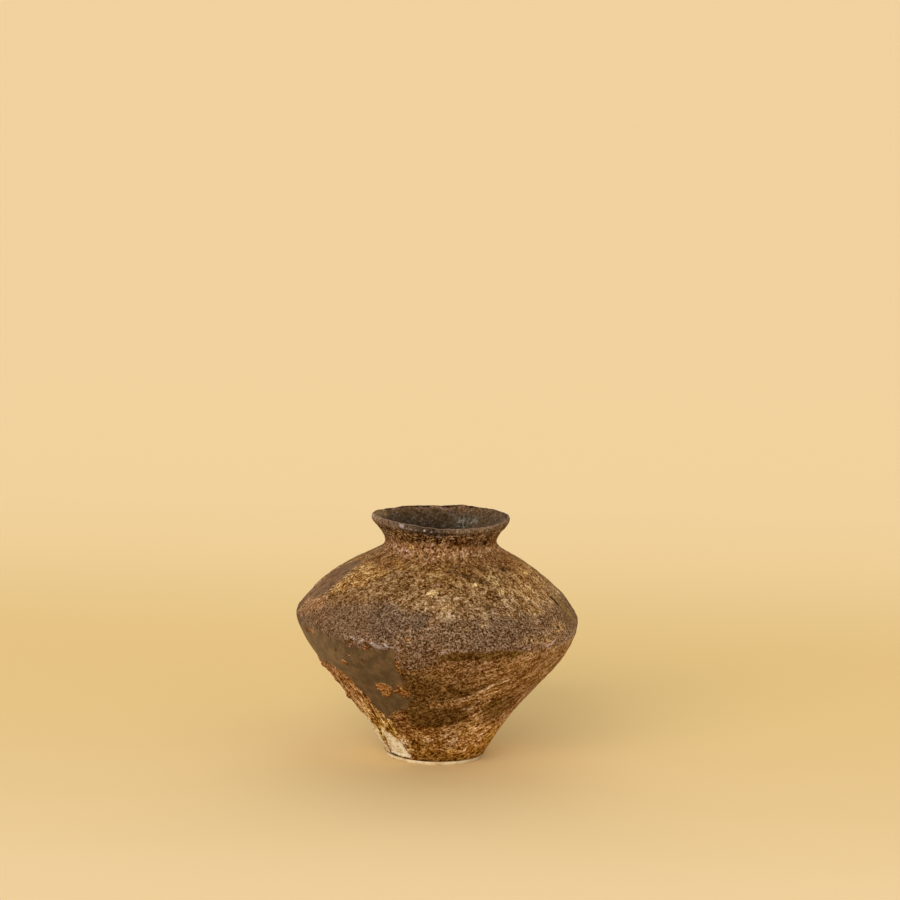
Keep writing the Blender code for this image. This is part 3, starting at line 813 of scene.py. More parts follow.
# how coarse the grain looks
grit = 1 - outside * (0.12 * above(112, 118) + 0.2 * above(136, 139))
grit = grit + 0.9 * outside * above(129.5, 132.5) * below(136, 139)
grit = grit + lowerWall * (0.28 - 0.3 * rightOf(15, 35) * above(44, 58) - 0.1 * below(20, 30))
grit = grit - 0.2 * rightOf(66, 74) * (ringHeight < 106) - 0.26 * field["mauve"] * leftOf(-38, -20)
grit = grit - 0.18 * field["olive"] - 0.4 * field["mist"] - 0.3 * field["lichen"] + 0.15 * field["golden"]
grit = grit - 0.15 * stroke["dark"]
# how much finer the grain is
pepper = np.maximum(1.15 * field["mauve"], 0.35 * rightOf(25, 40) * (ringHeight > 82))
pepper = np.maximum(pepper, 0.6 * lowerWall * above(48, 60) * leftOf(8, 30))
pepper = pepper + 0.5 * outside * above(137, 139.5) - 0.45 * lowerWall * below(20, 32)
# how much greyer the light grains are than the dark ones
swing = lowerWall * (1 + 0.25 * below(20, 34)) - 0.5 * field["mauve"] * (1 - lowerWall)
swing = swing + 0.8 * outside * above(127, 131) * below(136, 139)
# shares of the daubs, of the streaks and of the fibres
daubed = outside * above(86, 92) * below(122, 128) * (1 - 0.8 * field["mauve"])
daubed = daubed + lowerWall * (0.8 * below(26, 36) + 0.3 * rightOf(20, 40) * above(26, 36))
streaky = lowerWall * np.maximum(above(20, 32), rightOf(15, 32)) * (1 - 0.4 * rightOf(20, 40) * above(60, 72))
streaky = streaky * (0.6 + 0.7 * rightOf(-5, 35) * leftOf(120, 160))
fibrous = ease(ochreDepth, -1.5, 1.5) * (1 - 0.6 * above(46, 54))
# a pool's tone: 0 brown, 1 grey, 2 on the lenses above the keel
poolTone = 0.7 * (1 - ease(markBearing, -62, -34)) + 0.6 * above(48, 76) * (1 - ease(markBearing, -56, -38))
poolTone = np.clip(poolTone, 0, 1) * rightOf(-150, -120)
poolTone = poolTone + (2 - poolTone) * above(83, 85)
# painted highlights and sheen: pale specks and a lilac sheen along the keel, and specks along the lip; the
# inside reads the same value as its scratches
paintedSheenStrokes = [
    (-36.6, 82.8, 0.9, 0.4, 40, 1.5), (-35.4, 82.3, 0.8, 0.35, -50, 1.3),
    (-31.5, 82.1, 1.2, 0.4, 28, 1.6), (-27, 81.5, 1.4, 0.4, 20, 1.7), (-20.8, 81.5, 1.5, 0.45, -30, 1.9),
    (-24.4, 80.2, 4.2, 1.5, 0, 0.72), (-18.5, 80.6, 2.6, 1, 10, 0.4), (-33, 81.6, 5, 1, 0, 0.22),
    (-44, 83.2, 1, 0.4, 30, 0.7), (-40.5, 82.6, 0.8, 0.4, -40, 0.8), (-35, 140.2, 2.2, 1.1, 0, 0.8),
    (-38, 140.9, 0.9, 0.6, 0, 0.7), (-29.5, 139.7, 1.2, 0.5, 0, 0.5), (-25, 139.8, 0.8, 0.5, 0, 0.6),
    (-21, 139.6, 0.7, 0.4, 0, 0.6), (-13.6, 139.5, 0.6, 0.5, 0, 1.5), (-8, 139.2, 0.5, 0.4, 0, 1.1),
    (34, 140.8, 3, 0.5, 0, 0.2), (41, 141.2, 3, 0.5, 0, 0.25), (-24.5, 131.4, 0.6, 0.5, 0, 1.1),
    (120, 81.6, 14, 1.2, 0, 0.35), (-10.5, 81, 4, 1.4, 0, 0.16),
]
# painted highlights and sheen outside, the real scratches inside
sheenAndScratches = marks(paintedSheenStrokes, 0.3) + scratched
# worn edges of the lip: inside at the back, and along the crest in front
facing = np.cos(np.radians(columnBearing))
rimWear = hump(fromTop, 1.9, 0.6) * (0.85 + 0.35 * facing)
rimWear = np.maximum(rimWear, 1.1 * hump(fromTop, -0.1, 0.5) * ease(facing, 0.1, 0.6))

# the three values that each of these attributes holds
packs = {
    "kind": ("pepper", "swing", "daubed"),
    "texture": ("grit", "streaky", "fibrous"),
    "glaze": ("poolTone", "sheenAndScratches", "rimWear"),
}
depthKept = 6  # depths are cut off at so many millimetres
carried = {
    "coat": ("FLOAT_COLOR", np.concatenate([coat, np.ones_like(coat[..., :1])], -1)),
    "poolDepth": ("FLOAT", np.clip(poolDepth, -depthKept, depthKept)),
    "clayDepth": ("FLOAT", np.clip(clayDepth, -depthKept, depthKept)),
    "streak": ("FLOAT_VECTOR", streakCoord),
    "fibre": ("FLOAT_VECTOR", fibreCoord),
    "kind": ("FLOAT_VECTOR", together(pepper, swing, daubed)),
    "texture": ("FLOAT_VECTOR", together(grit, streaky, fibrous)),
    "glaze": ("FLOAT_VECTOR", together(poolTone, sheenAndScratches, rimWear)),
}
print("colours worked out")


# Meshes

def quadsOf(lower, upper, columns):
    # the faces between each lower ring of points and its upper one, once round
    here = np.arange(columns)[None, :]
    east = (here + 1) % columns
    lower, upper = lower[:, None] * columns, upper[:, None] * columns
    return np.stack([lower + here, lower + east, upper + east, upper + here], -1).reshape(-1, 4)


def closedPiece(name, ringRows, seatRings, materials):
    # rings of the wall, with the hidden rings of its seats after each stretch, closed round and round
    points, normals, rowOf = [], [], []
    for rows, seats in zip(ringRows, seatRings):
        seated = [insideBox(handBuilt(radius, height, columnAngle, potForm)) for radius, height in seats]
        points += [*wall[rows], *seated]
        normals += [*wallNormal[rows]] + [plainNormal[rows[-1]]] * len(seats)
        rowOf += [*rows] + [rows[-1]] * len(seats)
    points, normals, rowOf = np.array(points), np.array(normals), np.array(rowOf)
    ring = np.arange(len(rowOf))
    faces = quadsOf(ring, (ring + 1) % len(ring), potForm["columns"])
    mesh = meshOf(name, points.reshape(-1, 3), faces)
    for material in materials:
        mesh.materials.append(material)
    isInside = insideRing[rowOf]
    index = np.repeat(isInside & np.roll(isInside, -1), potForm["columns"]).astype(np.int32)
    mesh.polygons.foreach_set("material_index", index)
    for label, (kind, held) in carried.items():
        lay(mesh, label, kind, held[rowOf])
    mesh.shade_smooth()
    mesh.normals_split_custom_set_from_vertices(normals.reshape(-1, 3))
    return placed(name, mesh)


def meshOf(name, points, faces):
    # points in millimetres and faces of four (or three) corners, put into a mesh in metres
    mesh = bpy.data.meshes.new(name)
    size = faces.shape[1]
    mesh.vertices.add(len(points))
    mesh.vertices.foreach_set("co", (points / 1000).astype(np.float32).ravel())
    mesh.loops.add(faces.size)
    mesh.loops.foreach_set("vertex_index", faces.astype(np.int32).ravel())
    mesh.polygons.add(len(faces))
    mesh.polygons.foreach_set("loop_start", np.arange(0, faces.size, size, dtype=np.int32))
    mesh.update(calc_edges=True)
    mesh.validate()
    return mesh


def lay(mesh, name, kind, values):
    # one value, or one group of values, for each vertex
    made = mesh.attributes.new(name, kind, "POINT")
    entry = {"FLOAT_COLOR": "color", "FLOAT_VECTOR": "vector", "FLOAT": "value"}[kind]
    made.data.foreach_set(entry, np.ascontiguousarray(values, dtype=np.float32).ravel())


def placed(name, mesh):
    piece = bpy.data.objects.new(name, mesh)
    bpy.context.scene.collection.objects.link(piece)
    return piece


# Materials

def fill(node, sockets):
    # sets or links each socket of the node
    for key, value in sockets.items():
        if isinstance(value, bpy.types.NodeSocket):
            node.id_data.links.new(value, node.inputs[key])
        else:
            node.inputs[key].default_value = value


def put(tree, kind, sockets=(), **settings):
    # adds a node, sets its options and fills its sockets
    made = tree.nodes.new("ShaderNode" + kind)
    for name, value in settings.items():
        setattr(made, name, value)
    fill(made, dict(sockets))
    return made


def treeOf(*values):
    # the node tree of the first socket among the values
    return next(value.id_data for value in values if isinstance(value, bpy.types.NodeSocket))


def maths(operation, *values):
    return put(treeOf(*values), "Math", dict(enumerate(values)), operation=operation).outputs[0]


def times(first, second):
    return maths("MULTIPLY", first, second)


def plus(first, second):
    return maths("ADD", first, second)


def timesPlus(first, second, third):
    # first * second + third
    return maths("MULTIPLY_ADD", first, second, third)


def about(value, middle=0.5):
    # how far the value lies above the middle
    return maths("SUBTRACT", value, middle)


def between(value, low, high, start=0.0, end=1.0):
    # a smooth S from start to end while the value goes from low to high
    sockets = {"Value": value, "From Min": low, "From Max": high, "To Min": start, "To Max": end}
    return put(treeOf(value), "MapRange", sockets, interpolation_type="SMOOTHSTEP").outputs[0]


def mixed(share, first, second, way="MIX"):
    sockets = {0: share, 6: first, 7: second}
    return put(treeOf(share, first, second), "Mix", sockets, data_type="RGBA", blend_type=way).outputs[2]


def over(colour, mask, strength, tone):
    # the tone laid over the colour by mask * strength
    return mixed(times(mask, strength), colour, rgba(tone))


def noise(place, scale, detail, roughness, output=0):
    sockets = {"Vector": place, "Scale": scale, "Detail": detail, "Roughness": roughness}
    return put(treeOf(place), "TexNoise", sockets).outputs[output]


def cells(place, scale):
    # cells scattered at this scale: a random tone for each, and the distance from its middle
    cell = put(treeOf(place), "TexVoronoi", {"Vector": place, "Scale": scale, "Randomness": 1.0})
    tone = put(treeOf(place), "SeparateColor", {0: cell.outputs["Color"]}).outputs[0]
    return tone, cell.outputs["Distance"]


def parts(vector):
    return put(treeOf(vector), "SeparateXYZ", {0: vector}).outputs[:3]


def joined(red, green, blue):
    return put(treeOf(red), "CombineColor", {0: red, 1: green, 2: blue}).outputs[0]


def bumped(strength, height):
    # height in millimetres
    return put(treeOf(height), "Bump", {"Strength": strength, "Distance": 0.001, "Height": height}).outputs[0]


def attribute(tree, name, output="Vector"):
    return put(tree, "Attribute", attribute_name=name).outputs[output]


def rgba(colour):
    return (*paint(*colour), 1.0)


def newMaterial(name):
    # the material, its node tree, its shader and the place on the object
    material = bpy.data.materials.new(name)
    material.use_nodes = True
    tree = material.node_tree
    return material, tree, tree.nodes["Principled BSDF"], put(tree, "TexCoord").outputs["Object"]


crustLook = {
    # noises: grains per metre (or per unit of the place they run on), detail, roughness
    "grain": (600, 3, 0.66), "fine": (1150, 2, 0.6), "clump": (165, 2, 0.5), "fleck": (900, 1, 0.5),
    "cell": 900, "streaks": (1, 3, 0.62), "fibres": (1, 3, 0.6), "drips": (0.35, 2, 0.5),
    # share of each layer in the grain, and how much of that share pepper adds
    "layers": {"grain": (0.78, -0.65), "fine": (1.05, 0.6), "clump": (0.38, -0.6), "cell": (0.4, -0.3)},
    "streakShare": 0.9, "fibreShare": 2.2, "daubShare": 0.2, "daubEdge": (520, 2, 0.5), "daubPush": 1.3,
    # how strongly the grain lightens and darkens: red, green and blue powers
    "contrast": 8.4, "darkLean": 0.09, "darkest": -4.5, "lightest": 2.2,
    "darkTint": (0.42, 0.57, 0.95), "lightTint": (0.42, 0.55, 0.76), "swing": (-0.17, -0.12, 0.09),
    # specks: from and to of the fleck noise, from and to of the clumps, tone, strength
    "orangeSpecks": ((0.62, 0.68), (0.5, 0.62), (150, 94, 46), 0.45),
    "rustySpecks": ((0.64, 0.7), (0.52, 0.62), (128, 84, 42), 0.7),
    "whiteSpecks": None,
    # pits: cells per metre, reach from a cell's middle, share of the cells
    "pits": [(220, 0.14, 0.32), (300, 0.15, 0.35)], "pitEdge": (1.3, 0.7),
    "pitSoftness": 0.05, "pit": (30, 17, 8), "pitShare": 0.85,
    # pools: tones, then the ranges of the noises that cloud them, and what these become; the lenses' tone is
    # their own glaze lightened with painted sheen, as their reflection is turned off
    "poolBrown": (88, 68, 44), "poolGrey": (107, 85, 60), "poolLensAndSheen": (117, 90, 67), "lens": (1.2, 1.8),
    "poolOlive": (78, 59, 30), "dripRange": (0.45, 0.75, 0, 0.5),
    "mottle": (0.25, 0.75, 0.74, 1.24), "mottleClump": 1.4, "runs": (0.7, 1, 1.2, 0.72), "runGrain": 0.7,
    "rustCloud": (140, 86, 40), "rustCloudRange": (1.04, 1.3), "rustCloudGrain": (0.5, 0.6),
    "rustCloudShare": 0.45,
    # bare clay
    "clay": (226, 215, 186), "clayStain": (170, 130, 70), "stainRange": (0.46, 0.66),
    "stainGrain": (0.4, 0.3), "stainShare": 0.8,
    # edges in mm: the pools' bite of the grain and half width; the clay's bite, setback, bite of the fibres
    # and half width
    "poolEdge": (1.1, 0.4), "clayEdge": (3, 4, 2, 0.7),
    # painted highlights and sheen, and wear: range of the mask, strength (and the most that the painted sheen
    # comes to)
    "sheenAndScratches": (196, 184, 184), "paintedSheenRange": (0.08, 0.42), "paintedSheenShare": (0.62, 0.95),
    "wear": (136, 104, 80), "wearClump": (1.6, -0.9), "wearRange": (0.45, 0.75), "wearShare": 0.7,
    # relief in mm
    "grainHeight": 0.34, "grainRise": (1.4, 1.5), "crustStep": 0.12, "poolSmooth": 0.96, "pitDepth": 0.25,
    "bumpStrength": 0.85,
    "crustRoughness": 0.82, "poolRoughness": 0.5, "paintedSheenSmooth": 0.28,
    "shadeRange": (-1.5, 1.5), "lightGrains": (0.2, 0.9), "dryness": 0.08,  # light grains are rougher
    "crustSheen": 0.02, "poolSheen": 0.1, "lensSheen": 0.0,
}
lipLook = {
    **crustLook, "darkTint": (0.46, 0.56, 0.75), "lightTint": (0.44, 0.5, 0.6), "swing": (-0.1, 0, 0.12),
    "grainHeight": 0.24, "crustRoughness": 0.66,
    "whiteSpecks": ((0.66, 0.72), (0.46, 0.6), (150, 134, 116), 0.5),
}


def coatLayers(tree, place, look):
    # the noises, and what the grid carries, by name
    streak, fibre = attribute(tree, "streak"), attribute(tree, "fibre")
    layer = {name: noise(place, *look[name]) for name in ("grain", "fine", "clump", "fleck")}
    layer.update({"place": place, "cell": cells(place, look["cell"])[0], "streak": streak})
    layer["streaks"] = noise(streak, *look["streaks"])
    layer.update({name: noise(fibre, *look[name]) for name in ("fibres", "drips")})
    layer.update({name: attribute(tree, name, "Fac") for name in ("poolDepth", "clayDepth")})
    for name, held in packs.items():
        layer.update(zip(held, parts(attribute(tree, name))))
    layer["lens"] = between(layer["poolTone"], *look["lens"])
    return layer


def grainOf(layer, look):
    # the sum of (layer - its middle) * share
    body = 0.0
    for name, (share, peppered) in look["layers"].items():
        body = timesPlus(about(layer[name]), timesPlus(layer["pepper"], peppered * share, share), body)
    body = timesPlus(times(about(layer["streaks"]), layer["streaky"]), look["streakShare"], body)
    body = timesPlus(times(about(layer["fibres"]), layer["fibrous"]), look["fibreShare"], body)
    # daubs: cells with ragged edges, each of its own tone
    push = noise(layer["place"], *look["daubEdge"], "Color")
    sockets = {0: push, 1: (look["daubPush"],) * 3, 2: layer["streak"]}
    ragged = put(treeOf(push), "VectorMath", sockets, operation="MULTIPLY_ADD").outputs[0]
    daub = cells(ragged, 1.0)[0]
    return timesPlus(times(about(daub), layer["daubed"]), look["daubShare"], body)


def grainTint(body, layer, look):
    # level = contrast * grain - lean * its square, kept within its ends, * grit
    # tint = e to the power (level * dark tint or light tint * (1 + swing))
    level = times(body, look["contrast"])
    level = timesPlus(times(level, level), -look["darkLean"], level)
    level = maths("MINIMUM", maths("MAXIMUM", level, look["darkest"]), look["lightest"])
    level = times(level, layer["grit"])
    darker, lighter = maths("MINIMUM", level, 0.0), maths("MAXIMUM", level, 0.0)
    powers = []
    for dark, light, more in zip(look["darkTint"], look["lightTint"], look["swing"]):
        power = timesPlus(darker, dark, times(lighter, light))
        powers.append(maths("POWER", math.e, times(timesPlus(layer["swing"], more, 1.0), power)))
    return level, joined(*powers)


def speckled(colour, layer, specks):
    # specks where both the fleck noise and the clumps are high
    fleckRange, clumpRange, tone, strength = specks
    mask = times(between(layer["fleck"], *fleckRange), between(layer["clump"], *clumpRange))
    return over(colour, mask, strength, tone)


def pitsOf(place, look):
    # holes within a reach of the middle of some cells: near the middle * cell's tone below the share
    pits = []
    for scale, reach, share in look["pits"]:
        tone, distance = cells(place, scale)
        near = between(distance, *(reach * edge for edge in look["pitEdge"]))
        pits.append(times(near, between(tone, share, share - look["pitSoftness"])))
    return maths("MAXIMUM", *pits)


def poolColour(layer, look):
    # brown to grey to the lens's tone (with its painted sheen), olive drips, * clouds and runs, then rusty
    # specks and clouds
    colour = mixed(maths("MINIMUM", layer["poolTone"], 1.0), rgba(look["poolBrown"]), rgba(look["poolGrey"]))
    colour = mixed(layer["lens"], colour, rgba(look["poolLensAndSheen"]))
    colour = mixed(between(layer["drips"], *look["dripRange"]), colour, rgba(look["poolOlive"]))
    mottle = between(timesPlus(about(layer["clump"]), look["mottleClump"], layer["fine"]), *look["mottle"])
    runs = between(timesPlus(layer["grain"], look["runGrain"], layer["fibres"]), *look["runs"])
    mottle = times(mottle, timesPlus(about(runs, 1.0), layer["lens"], 1.0))
    colour = mixed(1.0, colour, joined(mottle, mottle, mottle), "MULTIPLY")
    colour = speckled(colour, layer, look["rustySpecks"])
    grainPart, fibrePart = look["rustCloudGrain"]
    cloudy = timesPlus(layer["grain"], grainPart, timesPlus(layer["fibres"], fibrePart, layer["clump"]))
    rusty = times(between(cloudy, *look["rustCloudRange"]), layer["lens"])
    return over(colour, rusty, look["rustCloudShare"], look["rustCloud"])


def clayColour(layer, look):
    # pale clay with rusty stains
    clumpPart, grainPart = look["stainGrain"]
    cloudy = timesPlus(layer["clump"], clumpPart, times(plus(layer["fine"], layer["cell"]), grainPart))
    stain = between(cloudy, *look["stainRange"])
    return over(rgba(look["clay"]), stain, look["stainShare"], look["clayStain"])


def slipCoat(name, look):
    # crust = the grid's colour * the grain's tint, with glaze pools and bare clay laid in by distance
    material, tree, shader, place = newMaterial(name)
    layer = coatLayers(tree, place, look)
    body = grainOf(layer, look)
    level, tint = grainTint(body, layer, look)
    colour = mixed(1.0, attribute(tree, "coat", "Color"), tint, "MULTIPLY")
    colour = speckled(colour, layer, look["orangeSpecks"])
    pit = pitsOf(place, look)
    colour = over(colour, pit, look["pitShare"], look["pit"])
    if look["whiteSpecks"]:
        colour = speckled(colour, layer, look["whiteSpecks"])

    # the masks' edges follow the laid-out depth, nibbled by the noises
    bite, half = look["poolEdge"]
    clumpy = plus(layer["grain"], layer["clump"])
    poolMask = between(plus(layer["poolDepth"], timesPlus(clumpy, bite, -bite)), -half, half)
    colour = mixed(poolMask, colour, poolColour(layer, look))
    bite, back, fibreBite, half = look["clayEdge"]
    nibble = timesPlus(layer["fibres"], fibreBite, timesPlus(clumpy, bite, -back))
    clayMask = between(plus(layer["clayDepth"], nibble), -half, half)
    colour = mixed(clayMask, colour, clayColour(layer, look))

    # painted highlights and sheen along the keel and the lip, and the worn edge of the lip
    paintedSheenMask = between(plus(layer["sheenAndScratches"], about(layer["grain"])), *look["paintedSheenRange"])
    strength, most = look["paintedSheenShare"]
    paintedSheenShare = maths("MINIMUM", times(layer["sheenAndScratches"], strength), most)
    colour = over(colour, paintedSheenMask, paintedSheenShare, look["sheenAndScratches"])
    worn = plus(layer["rimWear"], timesPlus(layer["clump"], *look["wearClump"]))
    wearMask = between(worn, *look["wearRange"])
    colour = over(colour, wearMask, look["wearShare"], look["wear"])

    # relief: grain on the crust only, a step down to the pools, pits
    rise = timesPlus(body, *(look["grainHeight"] * part for part in look["grainRise"]))
    rise = times(plus(rise, look["crustStep"]), maths("SUBTRACT", 1.0, times(poolMask, look["poolSmooth"])))
    rise = timesPlus(pit, -look["pitDepth"], rise)
    roughness = timesPlus(poolMask, look["poolRoughness"] - look["crustRoughness"], look["crustRoughness"])
    roughness = timesPlus(paintedSheenMask, -look["paintedSheenSmooth"], roughness)
    shade = between(level, *look["shadeRange"])
    roughness = timesPlus(between(shade, *look["lightGrains"]), look["dryness"], roughness)
    crustSheen, poolSheen, lensSheen = (look[name] for name in ("crustSheen", "poolSheen", "lensSheen"))
    sheen = timesPlus(layer["lens"], lensSheen - poolSheen, poolSheen - crustSheen)
    sheen = timesPlus(poolMask, sheen, crustSheen)
    # the crust's own sheen stays in the socket for an export that drops the link
    fill(shader, {"Specular IOR Level": crustSheen})
    fill(shader, {
        "Base Color": colour, "Roughness": roughness, "Normal": bumped(look["bumpStrength"], rise),
        "Specular IOR Level": sheen,
    })
    return material


insideLook = {
    "grain": (560, 3, 0.65), "fine": (1100, 2, 0.6), "contrast": 7.5, "grainTint": (0.34, 0.46, 0.8),
    # threads: noises per metre and strength; how far from the noise's middle a thread reaches
    "threads": [(230, 0.45), (360, 0.35)], "threadEdge": (0.045, 0.01), "scratch": (140, 135, 118),
    "relief": 0.4, "bumpStrength": 0.7, "roughness": 0.72, "sheen": 0.05,
}


def insideGlaze(name, look):
    # the tone laid on the grid * e to the power (grain * tint)
    material, tree, shader, place = newMaterial(name)
    grain = noise(place, *look["grain"])
    fine = noise(place, *look["fine"])
    level = timesPlus(plus(grain, fine), look["contrast"], -look["contrast"])
    tint = joined(*(maths("POWER", math.e, times(level, share)) for share in look["grainTint"]))
    tone = mixed(1.0, attribute(tree, "coat", "Color"), tint, "MULTIPLY")
    # scratches: pale threads, where a noise passes its middle
    scratches = parts(attribute(tree, "glaze"))[packs["glaze"].index("sheenAndScratches")]
    for scale, strength in look["threads"]:
        off = maths("ABSOLUTE", about(noise(place, scale, 1, 0.5)))
        thread = times(between(off, *look["threadEdge"], 0.0, strength), scratches)
        tone = mixed(thread, tone, rgba(look["scratch"]))
    fill(shader, {
        "Base Color": tone, "Normal": bumped(look["bumpStrength"], times(grain, look["relief"])),
        "Roughness": look["roughness"], "Specular IOR Level": look["sheen"],
    })
    return material


clayLook = {
    "clay": (212, 191, 149), "shade": (184, 156, 110), "cloud": (140, 3, 0.6), "cloudRange": (0.4, 0.68),
    "speck": (110, 76, 44), "grain": (1100, 2, 0.6), "speckRange": (0.64, 0.72, 0, 0.6),
    "relief": 0.16, "bumpStrength": 0.6, "roughness": 0.85,
}


def bareClay(name, look):
    # pale clay, clouded, with a few dark specks of iron
    material, tree, shader, place = newMaterial(name)
    cloud = noise(place, *look["cloud"])
    grain = noise(place, *look["grain"])
    colour = mixed(between(cloud, *look["cloudRange"]), rgba(look["clay"]), rgba(look["shade"]))
    colour = mixed(between(grain, *look["speckRange"]), colour, rgba(look["speck"]))
    fill(shader, {
        "Base Color": colour, "Roughness": look["roughness"],
        "Normal": bumped(look["bumpStrength"], times(grain, look["relief"])),
    })
    return material


crustCoat = slipCoat("crustCoat", crustLook)
lipSlip = slipCoat("lipSlip", lipLook)
glazeInside = insideGlaze("glazeInside", insideLook)
footClay = bareClay("footClay", clayLook)
print("materials made")


# The five sections

insideRing = np.arange(len(rings)) > topRing + 4  # the lip's coat laps a little way down the inside
keelSeat = [(79.6, 82.1), (78.1, 80.5), (76.5, 81.9)]  # the V that keys one rim into the other
# each section: node, slot, stretches of the wall from joint to joint, hidden rings after each, material
sections = [
    ("lowerWall", "lower_wall", "slip_crust", [(6, 7), (0, 1)], [[(25.2, 2.52)], keelSeat], crustCoat),
    ("shoulderWall", "shoulder_wall", "slip_crust", [(5, 6), (1, 2)], [keelSeat[::-1], []], crustCoat),
    ("neckCollar", "neck_collar", "slip_crust", [(4, 5), (2, 3)], [[], []], crustCoat),
    ("lipCoil", "lip_coil", "dark_slip", [(3, 4)], [[]], lipSlip),
]
for name, node, slot, stretches, seats, material in sections:
    rows = [np.arange(joint[first], joint[last] + 1) for first, last in stretches]
    piece = closedPiece(name, rows, seats, [material, glazeInside])
    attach(piece, "root")
    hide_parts(node)
    print(name, len(piece.data.polygons) * 2, "triangles")


footSlab = {
    # radius and height: scraped hollow, standing ring, bare edge, ledge, floor inside
    "outline": [
        (0.4, 1.2), (8, 1.15), (16, 1.2), (20.2, 1.15), (21, 0.55), (21.7, 0.08), (23, 0), (26, 0),
        (28, 0), (28.5, 0.15), (28.75, 0.6), (28.9, 1.3), (28.85, 1.9), (28.5, 2.25), (27.8, 2.36),
        (25.1, 2.4), (24.95, 3.2), (24.9, 6.3), (24.7, 6.9), (24.2, 7), (16, 6.9), (8, 6.85), (0.4, 6.85),
    ],
    "stepsBetween": 2, "wobble": 0.22, "wobbleSize": 6, "edge": (27, 29), "flatBelow": 0.05,
    # the glaze on its floor, and the height above which it lies
    "glaze": (46, 35, 24), "glazeCloud": 0.3, "glazeAbove": 5, "sharpAngle": 40,
}


def slabPiece(name, look):
    # rings of the outline with small wobbles, closed by a fan at each pole
    line = np.array(look["outline"], float)
    at = np.linspace(0, len(line) - 1, (len(line) - 1) * look["stepsBetween"] + 1)
    radius, height = (np.interp(at, np.arange(len(line)), line[:, k])[:, None] for k in range(2))
    points = handBuilt(radius, height, columnAngle[None, :], {**potForm, "drift": [(0, 0), (1, 0)]})
    wobble = ease(radius, *look["edge"]) * look["wobble"] * softNoise(points, look["wobbleSize"], 31)
    points[..., :2] *= (1 + wobble / look["edge"][1])[..., None]
    points[..., 2] = np.where(height < look["flatBelow"], 0, points[..., 2])
    points = insideBox(points)
    count, columns = points.shape[:2]
    flat = np.concatenate([points.reshape(-1, 3), [[0, 0, height[0, 0]], [0, 0, height[-1, 0]]]])
    ring = np.arange(count - 1)
    quads = quadsOf(ring, ring + 1, columns)
    here = np.arange(columns)
    east, last = (here + 1) % columns, (count - 1) * columns
    fans = np.concatenate([
        np.stack([np.full(columns, len(flat) - 2), east, here], -1),
        np.stack([np.full(columns, len(flat) - 1), here + last, east + last], -1),
    ])
    triangles = np.concatenate([quads[:, [0, 1, 2]], quads[:, [0, 2, 3]], fans])
    mesh = meshOf(name, flat, triangles)
    mesh.materials.append(footClay)
    mesh.materials.append(glazeInside)
    isGlazed = flat[triangles].mean(axis=1)[:, 2] > look["glazeAbove"]
    mesh.polygons.foreach_set("material_index", isGlazed.astype(np.int32))
    glaze = paint(*look["glaze"]) * np.exp(look["glazeCloud"] * softNoise(flat, 5.0, 32))[:, None]
    lay(mesh, "coat", "FLOAT_COLOR", np.concatenate([glaze, np.ones((len(flat), 1))], -1))
    mesh.shade_smooth()
    mesh.set_sharp_from_angle(angle=math.radians(look["sharpAngle"]))
    return placed(name, mesh)


foot = slabPiece("footSlab", footSlab)
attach(foot, "root")
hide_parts("foot_disc")
print("footSlab", len(foot.data.polygons), "triangles")


# Floor, light and camera

studio = {
    # colour of the floor by distance behind (+) or before (-) the pot, in metres: painted shade, darker in a
    # broad band from just before the pot to about half a metre behind it
    "floor": [
        (-0.6, (237, 208, 158)), (-0.26, (238, 208, 158)), (-0.19, (235, 204, 152)),
        (-0.1, (231, 200, 146)), (0.01, (229, 197, 139)), (0.13, (227, 195, 134)),
        (0.26, (227, 194, 133)), (0.35, (229, 197, 138)), (0.45, (232, 201, 145)),
        (0.56, (236, 206, 151)), (0.75, (239, 209, 158)), (3, (239, 209, 160)),
    ],
    "floorRadius": 13.0, "floorSides": 96, "far": (239, 209, 160),
    "ambient": 0.62, "ambientTint": (1.0, 0.985, 0.96),
    # each soft lamp: name, side it comes from, height in degrees, strength, width in degrees
    "lamps": [("window", (-0.38, -0.92), 18, 2.6, 56), ("bounce", (0.05, 1.0), 15, 1.4, 84)],
    "lampTint": (1.0, 0.98, 0.95),
}


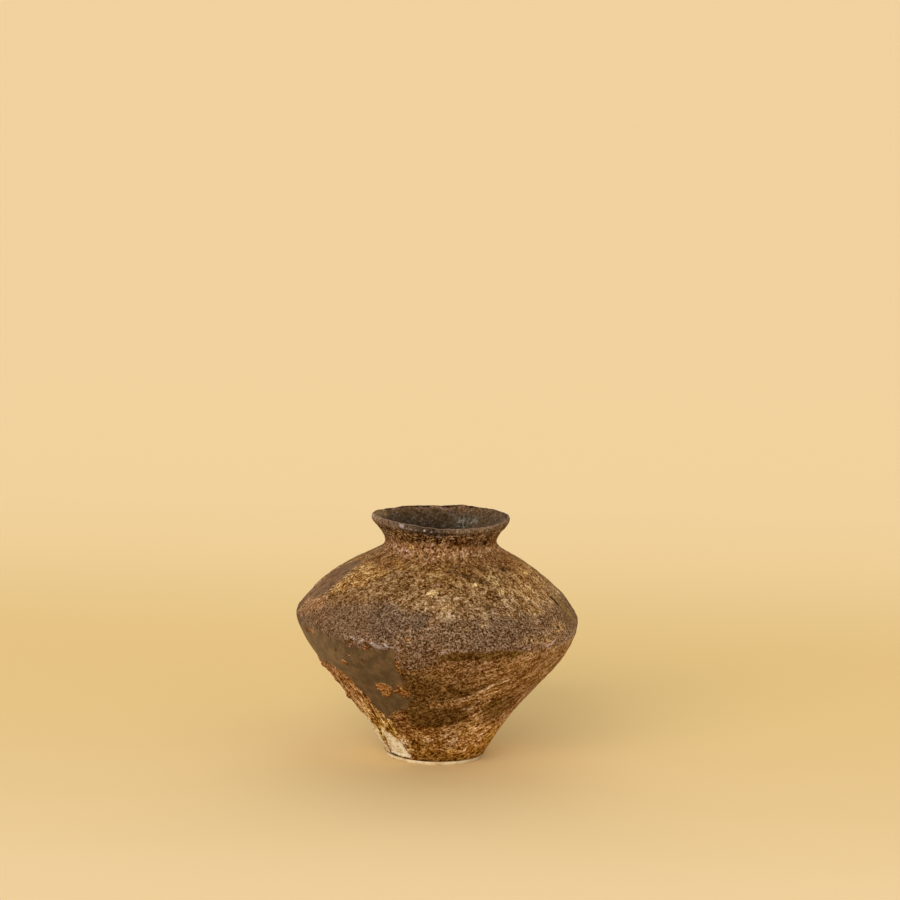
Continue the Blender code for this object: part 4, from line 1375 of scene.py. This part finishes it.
def floorDisc(look):
    # a flat disc whose colour runs with the distance behind the pot, as painted shade
    sides = look["floorSides"]
    angle = np.linspace(0, 2 * np.pi, sides, endpoint=False)
    rim = np.stack([np.cos(angle), np.sin(angle), 0 * angle], -1) * look["floorRadius"] * 1000
    points = np.concatenate([rim, [[0, 0, 0]]])
    here = np.arange(sides)
    mesh = meshOf("floor", points, np.stack([here, (here + 1) % sides, np.full(sides, sides)], -1))
    material, tree, shader, place = newMaterial("paperFloorPaintedShade")
    place = parts(place)[1]
    first, last = look["floor"][0][0], look["floor"][-1][0]
    share = put(tree, "MapRange", {"Value": place, "From Min": first, "From Max": last}).outputs[0]
    ramp = put(tree, "ValToRGB", {0: share})
    ramp.color_ramp.interpolation = "B_SPLINE"
    stops = ramp.color_ramp.elements
    stops[0].color, stops[1].color = rgba(look["floor"][0][1]), rgba(look["floor"][-1][1])
    for distance, colour in look["floor"][1:-1]:
        stops.new((distance - first) / (last - first)).color = rgba(colour)
    fill(shader, {"Base Color": ramp.outputs[0], "Roughness": 1.0, "Specular IOR Level": 0.0})
    mesh.materials.append(material)
    return placed("floor", mesh)


floorDisc(studio)

world = bpy.data.worlds.new("studio")
bpy.context.scene.world = world
world.use_nodes = True
tree = world.node_tree
light = tree.nodes["Background"]
light.inputs[0].default_value = (*studio["ambientTint"], 1)
light.inputs[1].default_value = studio["ambient"]
backdrop = put(tree, "Background", {0: rgba(studio["far"]), 1: 1.0})
seen = put(tree, "LightPath").outputs["Is Camera Ray"]
both = put(tree, "MixShader", {0: seen, 1: light.outputs[0], 2: backdrop.outputs[0]})
tree.links.new(both.outputs[0], tree.nodes["World Output"].inputs[0])

for name, side, height, strength, width in studio["lamps"]:
    lamp = bpy.data.objects.new(name, bpy.data.lights.new(name, "SUN"))
    lamp.data.energy, lamp.data.angle, lamp.data.color = strength, math.radians(width), studio["lampTint"]
    height = math.radians(height)
    towards = Vector((*side, 0)).normalized() * math.cos(height) + Vector((0, 0, math.sin(height)))
    lamp.rotation_mode = "QUATERNION"
    lamp.rotation_quaternion = towards.to_track_quat("Z", "Y")
    bpy.context.scene.collection.objects.link(lamp)

cameraSet = {"place": (0.0, -1.947158, 0.526702), "right": (0.99955794, 0.00327697, 0.02954965),
             "up": (-0.02966619, 0.1754253, 0.98404567), "lens": 137.616}
camera = bpy.data.objects.new("camera", bpy.data.cameras.new("camera"))
camera.data.lens = cameraSet["lens"]
camera.data.sensor_width = 36
camera.data.clip_start, camera.data.clip_end = 0.05, 40
right, up = Vector(cameraSet["right"]), Vector(cameraSet["up"])
back = right.cross(up)
turned = Matrix((right, up, back)).transposed().to_4x4()
camera.matrix_world = Matrix.Translation(cameraSet["place"]) @ turned
bpy.context.scene.collection.objects.link(camera)
bpy.context.scene.camera = camera
bpy.context.scene.view_settings.view_transform = "Standard"

print("box of the solids:", [[round(v, 5) for v in c] for c in cadBox])
